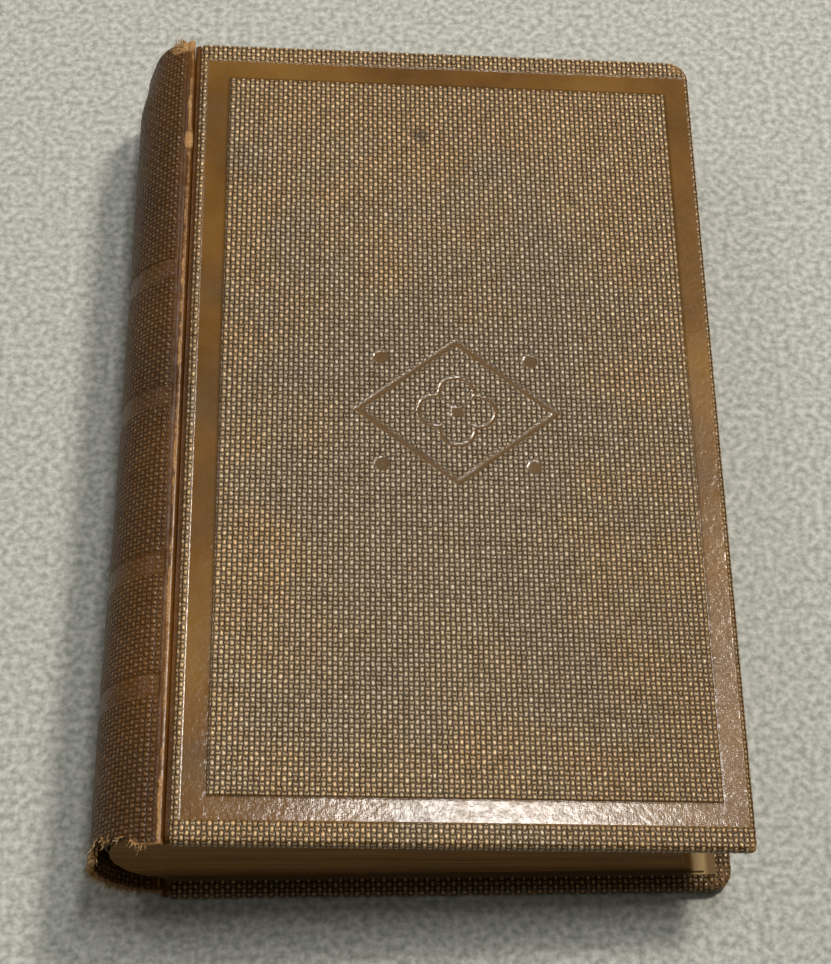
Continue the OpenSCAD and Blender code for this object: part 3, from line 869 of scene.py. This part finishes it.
def spineClothMesh():
    section = spineSection(grain["across"] / 4)
    marks = section[2]
    length = marks[-1]
    near = np.minimum(marks, length - marks)
    thick = 0.65 + (2 * case["cloth"] + spine["stiffener"] - 0.65) * ease((near - 4) / 4)
    back = thick - case["cloth"] - 0.02
    edges = [y + k * spine["ribWidth"] / 2 for y in spine["ribs"] for k in (-1, 1)]
    outer = gridLines(0.6, spineEnd - 0.6, grain["along"] / 4, edges)
    fray = np.array([0.28 * noise.noise(Vector((m * 0.9, 0, 0))) + 0.16 * noise.noise(Vector((m * 3.1, 5, 0)))
                     for m in marks])
    frayHead = np.roll(fray, 17)
    folds = np.radians([20, 45, 68, 90, 112, 135, 160])
    rows = [(y, 0.0, 0) for y in outer]
    rows += [(spineEnd - thick / 2 * (1 - math.sin(a)) + frayHead * math.sin(a),
              thick / 2 * (1 - math.cos(a)), 0.6) for a in folds]
    inner = np.arange(0.7, spine["turnIn"], grain["along"] / 4)
    rows += [(spineEnd - v, thick, 0) for v in inner]
    rows += [(spineEnd - spine["turnIn"], thick, 1), (spineEnd - spine["turnIn"], back, 1),
             (spineEnd - 0.8, back, 1)]
    rows += [(y, case["cloth"], 1) for y in np.linspace(spineEnd - 0.8, 0.8, 24)]
    rows += [(0.8, back, 1), (spine["turnIn"], back, 1), (spine["turnIn"], thick, 1)]
    rows += [(v, thick, 0) for v in inner[::-1]]
    rows += [(thick / 2 * (1 - math.sin(a)) + fray * math.sin(a), thick / 2 * (1 - math.cos(a)), 0.6)
             for a in folds[::-1]]
    mesh, length = spineRows("spineCloth", section, rows)
    p = pointsOf(mesh)
    place = getAttribute(mesh, "grain")
    inside = getAttribute(mesh, "smooth")
    s, y = place[:, 0], place[:, 1]
    near = np.minimum(s, length - s)
    count = len(outer) * len(marks)
    first = np.arange(len(p)) < count
    # plain bands across the spine, pressed as the one on the covers is
    rib = np.min([np.abs(y - v) for v in spine["ribs"]], axis=0) - spine["ribWidth"] / 2
    plain = spine["plain"][0] + (spine["plain"][1] - spine["plain"][0]) * ease((y - 20) / 130)
    rib = np.maximum(rib, plain + 0.2 - near)
    sink = np.where(first, np.interp(rib, [-stamp["lip"], 0, stamp["lip"]], [stamp["depth"],
                                                                             stamp["fillet"] * 0.8, 0]), 0)
    centre = np.array([spineCentre[0], spineCentre[1]])
    out = p[:, [0, 2]] - centre
    out /= np.linalg.norm(out, axis=1)[:, None]
    p[:, 0] -= out[:, 0] * sink
    p[:, 2] -= out[:, 1] * sink
    smooth = np.maximum(inside, np.clip(1 - (near - plain) / 0.6, 0, 1))
    smooth = np.maximum(smooth, np.where(first, np.clip(0.5 - rib / 0.3, 0, 0.5), 0))
    # wear: the roll beside the joint, the caps at head and tail, the rim of the hole, the shoulders
    run = np.array([noise.noise(Vector((v * 0.07, 0, 0))) + 0.6 * noise.noise(Vector((v * 0.31, 4, 0)))
                    for v in y])
    wear = (0.72 + 0.5 * run) * np.exp(-((near - 1.3 - 0.25 * run) / 0.45) ** 2)
    patch = np.exp(-((y - spine["patch"]) / 2.6) ** 4 - ((s - 1.3) / 1.2) ** 4)
    wear = np.maximum(wear, 0.95 * patch)
    wear = np.maximum(wear, 0.95 * ease((y - spineEnd + 4.2) / 2.6) * ease((9.5 - s) / 4))
    wear = np.maximum(wear, 0.42 * ease((y - spineEnd + 1.6) / 1.2))
    wear = np.maximum(wear, 0.72 * (1 - ease(y / 1.3)))
    wear = np.maximum(wear, 0.3 * np.exp(-((near - 5.2) / 0.8) ** 2))
    a = np.degrees(np.arctan2(p[:, 2] - spineCentre[1], -(p[:, 0] - spineCentre[0])))
    for at, turn, radius in (spine["tear"], spine["worn"]):
        tear = np.hypot((a - turn) * math.pi / 180 * spineRadius, y - at)
        wear = np.maximum(wear, 0.9 * (1 - ease((tear - radius - 0.1) / 0.9)))
    setAttribute(mesh, "smooth", smooth)
    setAttribute(mesh, "wear", wear)
    setPoints(mesh, toFrame(p))
    tidyMesh(mesh, 2e-6)
    return mesh


spineTree = pressedGrainTree(spineClothFinish)
spineCloth = grown(addObject("spineCloth", spineClothMesh(), spineClothFinish), spineTree,
                   {"Seed": 3, "Bead height": 0.14, "Uneven": 0.6})
cutter = tearCutter("tear", *spine["tear"], 0.45)
wornCutter = tearCutter("wornEdge", *spine["worn"], 0.7)
combine(cutter, wornCutter, "UNION")
bpy.data.objects.remove(wornCutter)
combine(spineCloth, cutter, "DIFFERENCE")


def plainPaper(name, tones, scale, browningAndShade=0.0):
    # Unsized wood and rag paper, browned by acid; nothing shines but the fibre shows
    material, tree = newMaterial(name)
    mm = placeInMm(tree)
    cloud = noiseOn(tree, mm, scale, 5.0, 0.6)
    tone = ramp(tree, cloud, [(0.3, tones[0]), (0.5, tones[1]), (0.72, tones[2])])
    spot = noiseOn(tree, mm, 0.42, 2.0)
    foxing = mapRange(tree, spot, (0.66, 0.74), (0.0, 0.55))
    # painted shade on the margin that stands out below the leaves, where the leaves shade it
    parts = addNode(tree, "ShaderNodeSeparateXYZ", {0: mm})
    tail = mapRange(tree, parts.outputs[1], (-84.0, -88.0), (0.0, browningAndShade))
    under = mapRange(tree, parts, (51.6, 50.8))
    shadeUnderLeaves = calc(tree, "MULTIPLY", tail, under)
    # and the turned-in cloth has browned the margin at the fore-edge
    margin = mapRange(tree, parts, (53.2, 54.2), (0.0, browningAndShade * 0.8))
    marginAndShade = calc(tree, "MAXIMUM", margin, shadeUnderLeaves)
    brown = calc(tree, "MAXIMUM", foxing, marginAndShade)
    marked = mixColours(tree, brown, tone, linearColour(tones[3]))
    fibre = noiseOn(tree, mm, 5.0, 4.0)
    bump = bumpOn(tree, fibre, 0.35, 0.00004)
    surface = addNode(tree, "ShaderNodeBsdfPrincipled", {"Base Color": marked, "Roughness": 0.82,
                                                         "Normal": bump})
    addNode(tree, "ShaderNodeOutputMaterial", {"Surface": surface})
    return material


endpaperFinish = plainPaper("browningEndpaper", ("#b0935f", "#c2a878", "#d0ba8e", "#5c4220"), 0.035, 0.9)
liningFinish = plainPaper("gluedLiningPaper", ("#806a45", "#93794f", "#a58c61", "#5d4a2c"), 0.2)
stiffenerFinish = plainPaper("brownStiffenerPaper", ("#6b5639", "#7c6545", "#8f7753", "#4c3b25"), 0.3)
boardFinish = plainPaper("strawPasteboard", ("#75623f", "#86724c", "#98845c", "#5a4a2e"), 0.5)

paperSection = spineSection(1.0)
paperRows = [(y, case["cloth"] + 0.02, 1) for y in np.linspace(0.9, spineEnd - 0.9, 40)]
paperRows += [(y, case["cloth"] + spine["stiffener"] - 0.04, 1) for y in np.linspace(spineEnd - 0.9, 0.9, 40)]


def stiffenerMesh():
    points, ways, marks = paperSection
    keep = (marks > 6.2) & (marks < marks[-1] - 6.2)
    mesh, _ = spineRows("spineStiffener", (points, ways, marks), paperRows, closed=False)
    n = len(marks)
    rows = len(paperRows)
    work = bmesh.new()
    work.from_mesh(mesh)
    work.verts.ensure_lookup_table()
    drop = [work.verts[k * n + i] for k in range(rows) for i in range(n) if not keep[i]]
    bmesh.ops.delete(work, geom=drop, context="VERTS")
    bmesh.ops.holes_fill(work, edges=work.edges, sides=0)
    work.to_mesh(mesh)
    work.free()
    setPoints(mesh, toFrame(pointsOf(mesh)))
    return mesh


stiffener = addObject("spineStiffener", stiffenerMesh(), stiffenerFinish)
combine(stiffener, cutter, "DIFFERENCE")
bpy.data.objects.remove(cutter)
for piece, node, slot in ((spineCloth, "spine_cloth", "cloth"), (stiffener, "spine_inlay", "stiffener")):
    shadeSmooth(piece.data)
    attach(piece, "book_block")
    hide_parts(node)
print("spine made", len(spineCloth.data.polygons), len(stiffener.data.polygons))


# Cotton threads that stand out of the worn edges: one short bent thread on each anchor
def threadTree(material):
    tree, given = newShapeTree("frayedThreads", {
        "Shortest": fray["shortest"], "Longest": fray["longest"], "Thickness": fray["thickness"],
        "Curl": fray["curl"]}, 9)
    way = namedValue(tree, "way", "FLOAT_VECTOR")
    length = addNode(tree, "FunctionNodeRandomValue", {"Min": given.outputs["Shortest"],
                                                       "Max": given.outputs["Longest"],
                                                       "Seed": given.outputs["Seed"]}, data_type="FLOAT")
    turn = addNode(tree, "FunctionNodeAlignRotationToVector", {"Vector": way}, axis="Z")
    line = addNode(tree, "GeometryNodeCurvePrimitiveLine", {"Start": (0, 0, 0), "End": (0, 0, 1)})
    parts = addNode(tree, "GeometryNodeResampleCurve", {"Curve": line, "Count": 6})
    placed = addNode(tree, "GeometryNodeInstanceOnPoints", {"Points": given.outputs["Geometry"],
                                                            "Instance": parts, "Rotation": turn,
                                                            "Scale": length.outputs["Value"]})
    real = addNode(tree, "GeometryNodeRealizeInstances", {"Geometry": placed})
    along = addNode(tree, "GeometryNodeSplineParameter")
    where = addNode(tree, "GeometryNodeInputPosition")
    sway = noiseOn(tree, where, 1.1, 1.0)
    centred = vectorCalc(tree, "SUBTRACT", sway.outputs["Color"], (0.5,) * 3)
    grows = calc(tree, "MULTIPLY", along.outputs["Factor"], given.outputs["Curl"])
    bend = calc(tree, "MULTIPLY", grows, 4.0)
    offset = scaled(tree, centred, bend)
    curled = addNode(tree, "GeometryNodeSetPosition", {"Geometry": real, "Offset": offset})
    section = addNode(tree, "GeometryNodeCurvePrimitiveCircle", {"Resolution": 5,
                                                                 "Radius": given.outputs["Thickness"]})
    tube = addNode(tree, "GeometryNodeCurveToMesh", {"Curve": curled, "Profile Curve": section,
                                                     "Fill Caps": True})
    metres = addNode(tree, "GeometryNodeTransform", {"Geometry": tube, "Scale": (0.001,) * 3})
    finishShape(tree, metres, material)
    return tree


def cottonMaterial():
    # Bare cotton thread, tan with handling, matt
    material, tree = newMaterial("bareCottonThread")
    where = addNode(tree, "ShaderNodeTexCoord")
    spots = noiseOn(tree, where.outputs["Object"], 900.0, 2.0)
    tone = ramp(tree, spots, [(0.35, "#7d5a30"), (0.5, "#b08e5f"), (0.65, "#d8bf95")])
    surface = addNode(tree, "ShaderNodeBsdfPrincipled", {"Base Color": tone, "Roughness": 0.8,
                                                         "Specular IOR Level": 0.2})
    addNode(tree, "ShaderNodeOutputMaterial", {"Surface": surface})
    return material


fray = {"count": 420, "shortest": 0.3, "longest": 1.3, "thickness": 0.05, "curl": 0.5, "lean": 0.9}


def frayAnchors():
    mesh = spineCloth.data
    p = pointsOf(mesh) * 1000
    wear = getAttribute(mesh, "wear")
    normals = np.zeros(len(mesh.vertices) * 3, np.float32)
    mesh.vertex_normals.foreach_get("vector", normals)
    normals = normals.reshape(-1, 3)
    y = p[:, 1] + originY
    ends = (y < 5.5) | (y > spineEnd - 2.6)
    weight = np.where(ends, np.clip(wear - 0.5, 0, 1), 0)
    weight = np.where((y > 5.5) & ~ends, np.clip(wear - 0.75, 0, 1) * 0.12, weight)
    # none beside the joints, where a cover opens
    around = getAttribute(mesh, "grain")[:, 0]
    weight = np.where(np.minimum(around, around.max() - around) < 3.4, 0, weight)
    random = np.random.default_rng(5)
    chosen = random.choice(len(p), fray["count"], replace=False, p=weight / weight.sum())
    way = normals[chosen] * 0.6 + random.normal(0, 0.45, (len(chosen), 3))
    away = np.where(y[chosen] < 6, -1.0, np.where(y[chosen] > spineEnd - 3, 1.0, 0.0))
    way[:, 1] += fray["lean"] * away
    way[:, 0] = np.minimum(way[:, 0], 0.0)
    way[:, 2] = np.where(p[chosen][:, 2] > 24.0, np.minimum(way[:, 2], 0.1), way[:, 2])
    way[:, 2] = np.where(p[chosen][:, 2] < 3.0, np.maximum(way[:, 2], 0.1), way[:, 2])
    mesh = meshFrom("frayedThreads", p[chosen] - normals[chosen] * 0.03, [], way=way)
    return mesh


cottonFinish = cottonMaterial()
threads = grown(addObject("frayedThreads", frayAnchors()), threadTree(cottonFinish),
                {"Longest": fray["longest"]})
shadeSmooth(threads.data)
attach(threads, "book_block")
print("threads made", len(threads.data.polygons))


# Joints: the cloth and the endpaper strips that lie where a cover opens
def pathStrip(name, path, thickness, place, span, material, rows, fine=None):
    # path holds (along the cover, depth) from the block's side to the cover's side
    path = np.array(path, float)
    gone = np.concatenate([[0], np.cumsum(np.linalg.norm(np.diff(path, axis=0), axis=1))])
    marks = np.unique(np.concatenate([np.linspace(0, gone[-1], 24),
                                      gone if fine is None else np.linspace(*fine, 40)]))
    line = np.stack([np.interp(marks, gone, path[:, i]) for i in (0, 1)], 1)
    step = np.gradient(line, axis=0)
    step /= np.maximum(np.linalg.norm(step, axis=1), 1e-9)[:, None]
    under = line + np.stack([-step[:, 1], step[:, 0]], 1) * thickness
    loop = np.concatenate([line, under[::-1]])
    n = len(loop)
    ys = np.linspace(span[0], span[1], rows)
    points, grains = [], []
    runs = np.concatenate([marks, marks[::-1]])
    for y in ys:
        points.append(np.stack([loop[:, 0], np.full(n, y), -loop[:, 1]], 1))
        grains.append(np.stack([runs, np.full(n, y), np.zeros(n)], 1))
    faces = [(k * n + i, k * n + (i + 1) % n, (k + 1) * n + (i + 1) % n, (k + 1) * n + i)
             for k in range(rows - 1) for i in range(n)]
    faces += [tuple(range(n)), tuple((rows - 1) * n + i for i in range(n))]
    mesh = meshFrom(name, place(np.concatenate(points)), faces, grain=np.concatenate(grains),
                    smooth=np.full(n * rows, 0.8), wear=np.full(n * rows, 0.12))
    tidyMesh(mesh, 1e-7)
    shadeSmooth(mesh)
    return addObject(name, mesh, material)


clothPath = [(-0.34, 1.66), (-0.15, 1.5), (-0.02, 1.36), (0.12, 1.25), (0.3, 1.19), (0.6, 1.16), (0.8, 1.14)]
paperPath = [(1.25, 2.73), (0.75, 2.7), (0.3, 2.2), (-0.02, 1.84), (0.3, 1.74), (0.8, 1.68), (1.05, 1.9),
             (1.07, 2.3), (1.3, 2.5), (2.4, 2.52)]
for side, place, body in (("front", frontPlace, "front_cover"), ("back", backPlace, "back_cover")):
    strip = pathStrip(side + "JointCloth", clothPath, 0.24, place, (0.2, case["height"] + 0.1),
                      spineClothFinish, 90)
    ends = place(np.array([(-0.14, 91, -1.3), (0.22, 91, -1.3)]))
    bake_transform(strip)
    hinge = pathStrip(side + "EndpaperFold", paperPath, 0.07, place, (3.2, case["height"] - 4.2),
                      endpaperFinish, 8)
    ends = place(np.array([(0.74, 91, -2.144), (0.817, 91, -2.075)]))
    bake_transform(hinge)
print("joints made")


# Leaves
leaves = {
    "height": 175.5,
    "tail": 2.5,
    "foreSquare": 7.4,
    "hollow": 3.8,
    "depth": 2.9,        # outer face of a cover to the leaves
    "layers": 92,
    "section": 8,        # layers in a sewn section
    "uneven": 0.16,
}


def frontPoint(u, d):
    return np.array([u * math.cos(fall) - d * math.sin(fall),
                     case["thick"] - u * math.sin(fall) - d * math.cos(fall)])


def circleThrough(a, b, bulge):
    half = np.linalg.norm(a - b) / 2
    radius = (half * half + bulge * bulge) / (2 * bulge)
    side = np.array([a[1] - b[1], b[0] - a[0]]) / np.linalg.norm(a - b)
    return (a + b) / 2 + side * (radius - bulge), radius


def pageEdgeTree(material):
    tree, given = newShapeTree("pageEdges", {
        "Leaf uneven": leaves["uneven"], "Section uneven": leaves["uneven"],
        "Leaves in a section": float(leaves["section"])}, 5)
    leaf = namedValue(tree, "leaf")
    way = namedValue(tree, "outward", "FLOAT_VECTOR")
    one = addNode(tree, "FunctionNodeRandomValue", {"Min": 0.0, "Max": 1.0, "ID": leaf,
                                                    "Seed": given.outputs["Seed"]}, data_type="FLOAT")
    group = calc(tree, "DIVIDE", leaf, given.outputs["Leaves in a section"])
    whole = calc(tree, "FLOOR", group)
    other = calc(tree, "ADD", given.outputs["Seed"], 40.0)
    many = addNode(tree, "FunctionNodeRandomValue", {"Min": 0.0, "Max": 1.0, "ID": whole, "Seed": other},
                   data_type="FLOAT")
    fine = calc(tree, "MULTIPLY", one.outputs["Value"], given.outputs["Leaf uneven"])
    coarse = calc(tree, "MULTIPLY_ADD", many.outputs["Value"], given.outputs["Section uneven"], fine)
    metres = calc(tree, "MULTIPLY", coarse, -0.001)
    offset = scaled(tree, way, metres)
    moved = addNode(tree, "GeometryNodeSetPosition", {"Geometry": given.outputs["Geometry"],
                                                      "Offset": offset})
    finishShape(tree, moved, material)
    return tree


def leavesMesh():
    lipLow = np.array([case["width"] - case["lean"] - leaves["foreSquare"], leaves["depth"]])
    lipTop = frontPoint(case["width"] - leaves["foreSquare"], leaves["depth"])
    foreCentre, foreRadius = circleThrough(lipTop, lipLow, leaves["hollow"])
    shoulderTop = rollTop + np.array([spine["ridge"] / 2, spine["ridge"] - case["cloth"] - 0.7])
    shoulderLow = rollLow - np.array([-spine["ridge"] / 2, spine["ridge"] - case["cloth"] - 0.7])
    flap = spineRadius - case["cloth"] - spine["stiffener"]
    backX = spineCentre[0] - flap + case["cloth"] + 0.9 + 0.4 + 0.05
    backCentre, backRadius = circleThrough(shoulderTop, shoulderLow,
                                           (shoulderTop[0] + shoulderLow[0]) / 2 - backX)
    foot = case["grooveDepth"] + case["cloth"] + 0.3

    # both circles lie towards the fore-edge of their arcs, so each arc runs over the far left of its circle
    def onArc(centre, radius, a, b, t):
        start = math.atan2(*(a - centre)[::-1])
        end = math.atan2(*(b - centre)[::-1]) - 2 * math.pi
        angle = start + (end - start) * t
        return centre + radius * np.array([math.cos(angle), math.sin(angle)])

    stations = [((jointLow[0], foot), (jointTop[0], case["thick"] - foot)),
                ((case["boardIn"] / 2 - case["lean"], leaves["depth"] - 0.15),
                 frontPoint(case["boardIn"] / 2, leaves["depth"] - 0.15)), ((case["boardIn"] - case["lean"],
                                                                             leaves["depth"]),
                                                                             frontPoint(case["boardIn"],
                                                                                        leaves["depth"]))]
    count = leaves["layers"]
    tail, head = leaves["tail"], leaves["tail"] + leaves["height"]
    foreYs = np.linspace(tail, head, 20)[1:-1]
    backYs = np.linspace(head, tail, 6)[1:-1]
    points, index, outward, layer = [], [], [], []
    for k in range(2 * count):
        t = (k // 2 + k % 2) / count
        back = onArc(backCentre, backRadius, shoulderLow, shoulderTop, t)
        fore = onArc(foreCentre, foreRadius, lipLow, lipTop, t)
        marks = [back] + [np.array(a) * (1 - t) + np.array(b) * t for a, b in stations] + [fore]
        line = []
        for a, b, n in zip(marks, marks[1:], (6, 2, 2, 14)):
            line += [a + (b - a) * i / n for i in range(n)]
        line = np.array(line + [fore])
        m = len(line)
        loop = [(p[0], tail, p[1]) for p in line] + [(fore[0], y, fore[1]) for y in foreYs]
        loop += [(p[0], head, p[1]) for p in line[::-1]] + [(back[0], y, back[1]) for y in backYs]
        ways = [(0, -1, 0)] * m + [(1, 0, 0)] * len(foreYs) + [(0, 1, 0)] * m + [(0, 0, 0)] * len(backYs)
        ways = np.array(ways, float)
        ways[m - 1] = ways[m + len(foreYs)] = (0.7, 0, 0)
        ways[m - 1, 1], ways[m + len(foreYs), 1] = -1, 1
        points += loop
        index += [k // 2] * len(loop)
        layer += [t * case["thick"]] * len(loop)
        outward.append(ways)
    n = len(loop)
    rows = 2 * count
    faces = [(k * n + i, k * n + (i + 1) % n, (k + 1) * n + (i + 1) % n, (k + 1) * n + i)
             for k in range(rows - 1) for i in range(n)]
    skip = m + len(foreYs)
    for k in (0, rows - 1):
        base = k * n
        faces += [(base + i, base + i + 1, base + skip + m - 2 - i,
                   base + skip + m - 1 - i) for i in range(m - 1)]
        faces.append(tuple(base + i for i in range(m - 1, skip + 1)))
        faces.append(tuple([base] + [base + i for i in range(n - 1, skip + m - 2, -1)]))
    mesh = meshFrom("leaves", toFrame(points), faces, leaf=index, layer=layer,
                    outward=np.concatenate(outward))
    tidyMesh(mesh, 1e-7)
    return mesh


def pageEdgeMaterial():
    # Cut edges of browned book paper: fine lines along the leaves
    material, tree = newMaterial("cutPageEdges")
    mm = placeInMm(tree)
    layer = attribute(tree, "layer")
    parts = addNode(tree, "ShaderNodeSeparateXYZ", {0: mm})
    stretched = calc(tree, "MULTIPLY", parts, 0.012)
    alongY = calc(tree, "MULTIPLY", parts.outputs[1], 0.012)
    coord = addNode(tree, "ShaderNodeCombineXYZ", {0: stretched, 1: alongY, 2: layer})
    lines = noiseOn(tree, coord, 5.0, 4.0, 0.75)
    bands = noiseOn(tree, coord, 0.7, 2.0)
    both = calc(tree, "MULTIPLY", lines, 0.6)
    mixed = calc(tree, "MULTIPLY_ADD", bands, 0.4, both)
    tone = ramp(tree, mixed, [(0.32, "#402706"), (0.46, "#775019"), (0.62, "#996f31")])
    bump = bumpOn(tree, lines, 0.7, 0.0001)
    surface = addNode(tree, "ShaderNodeBsdfPrincipled", {"Base Color": tone, "Roughness": 0.78,
                                                         "Normal": bump})
    addNode(tree, "ShaderNodeOutputMaterial", {"Surface": surface})
    return material


pageFinish = pageEdgeMaterial()
leafBlock = grown(addObject("leaves", leavesMesh(), pageFinish), pageEdgeTree(pageFinish),
                  {"Leaf uneven": leaves["uneven"]})
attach(leafBlock, "book_block")
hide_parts("text_block")
for node, finish in (("front_flyleaf", endpaperFinish), ("back_flyleaf", endpaperFinish),
                     ("front_pastedown", endpaperFinish), ("back_pastedown", endpaperFinish),
                     ("spine_lining", liningFinish), ("front_board", boardFinish), ("back_board",
                                                                                    boardFinish)):
    mesh = frame["nodes"][node].data
    mesh.materials.clear()
    mesh.materials.append(finish)
print("leaves made", len(leafBlock.data.polygons))


# Floor, camera and light
def floorMaterial():
    # Matt pale grey felt-like sheet; a view from below passes through its underside
    material, tree = newMaterial("mattGreySheet")
    where = addNode(tree, "ShaderNodeTexCoord")
    spots = noiseOn(tree, where.outputs["Object"], 700.0, 3.0)
    tone = ramp(tree, spots, [(0.33, "#9da29f"), (0.67, "#ced3d1")])
    shade = addNode(tree, "ShaderNodeBsdfDiffuse", {"Color": tone})
    clear = addNode(tree, "ShaderNodeBsdfTransparent")
    below = addNode(tree, "ShaderNodeNewGeometry")
    both = addNode(tree, "ShaderNodeMixShader", {0: below.outputs["Backfacing"], 1: shade, 2: clear})
    addNode(tree, "ShaderNodeOutputMaterial", {"Surface": both})
    return material


floorMesh = meshFrom("floor", [(-3, -3, 0), (3, -3, 0), (3, 3, 0), (-3, 3, 0)], [(0, 1, 2, 3)])
floor = addObject("floor", floorMesh, floorMaterial())
floor.location.z = -0.0002

# Camera fitted to the corners of the cover in the photo, in metres
shot = {
    "place": (-0.00433, -0.22542, 0.40708),
    "look": (0.009, 0.48007, -0.87718),
    "up": (0.0106, 0.87713, 0.48014),
    "lens": 83.01,
    "sensor": 36,
}
camera = bpy.data.objects.new("camera", bpy.data.cameras.new("camera"))
bpy.context.scene.collection.objects.link(camera)
look = Vector(shot["look"]).normalized()
right = look.cross(Vector(shot["up"])).normalized()
up = right.cross(look)
turn = Matrix((right, up, -look)).transposed().to_4x4()
camera.matrix_world = Matrix.Translation(shot["place"]) @ turn
camera.data.sensor_width = shot["sensor"]
camera.data.lens = shot["lens"]
camera.data.clip_start = 0.01
bpy.context.scene.camera = camera


def addLamp(name, place, aim, size, power, colour="#ffffff"):
    lamp = bpy.data.objects.new(name, bpy.data.lights.new(name, "AREA"))
    bpy.context.scene.collection.objects.link(lamp)
    lamp.data.shape = "RECTANGLE"
    lamp.data.size, lamp.data.size_y = size
    lamp.data.energy = power
    lamp.data.color = linearColour(colour)[:3]
    lamp.location = place
    lamp.rotation_euler = (Vector(aim) - Vector(place)).to_track_quat("-Z", "Y").to_euler()
    return lamp


addLamp("keyLamp", (1.16, 1.02, 2.0), (0, 0, 0), (0.38, 0.44), 40.0, "#fff3e2")
addLamp("overheadLamp", (0.4, 0.46, 2.0), (0.4, 0.46, 0), (0.3, 0.62), 13.0, "#fffaf4")
addLamp("windowLamp", (-1.9, 1.5, 2.0), (-0.05, 0, 0), (0.9, 1.0), 11.0, "#fff8ee")
world = bpy.data.worlds.new("room")
bpy.context.scene.world = world
world.use_nodes = True
tree = world.node_tree
tree.nodes.clear()
# soft light from the ceiling that fades towards the walls
where = addNode(tree, "ShaderNodeTexCoord")
height = addNode(tree, "ShaderNodeSeparateXYZ", {0: where.outputs["Generated"]})
dome = ramp(tree, height.outputs["Z"], [(0.0, "#5d5b56"), (0.35, "#777469"), (0.9, "#928e85")])
# the side towards the camera is darker, so the tail of the book is in shade
side = mapRange(tree, height.outputs["Y"], (-0.5, 0.3), (0.38, 0.92))
light = addNode(tree, "ShaderNodeBackground", {"Color": dome, "Strength": side})
addNode(tree, "ShaderNodeOutputWorld", {"Surface": light})
bpy.context.scene.view_settings.view_transform = "Standard"
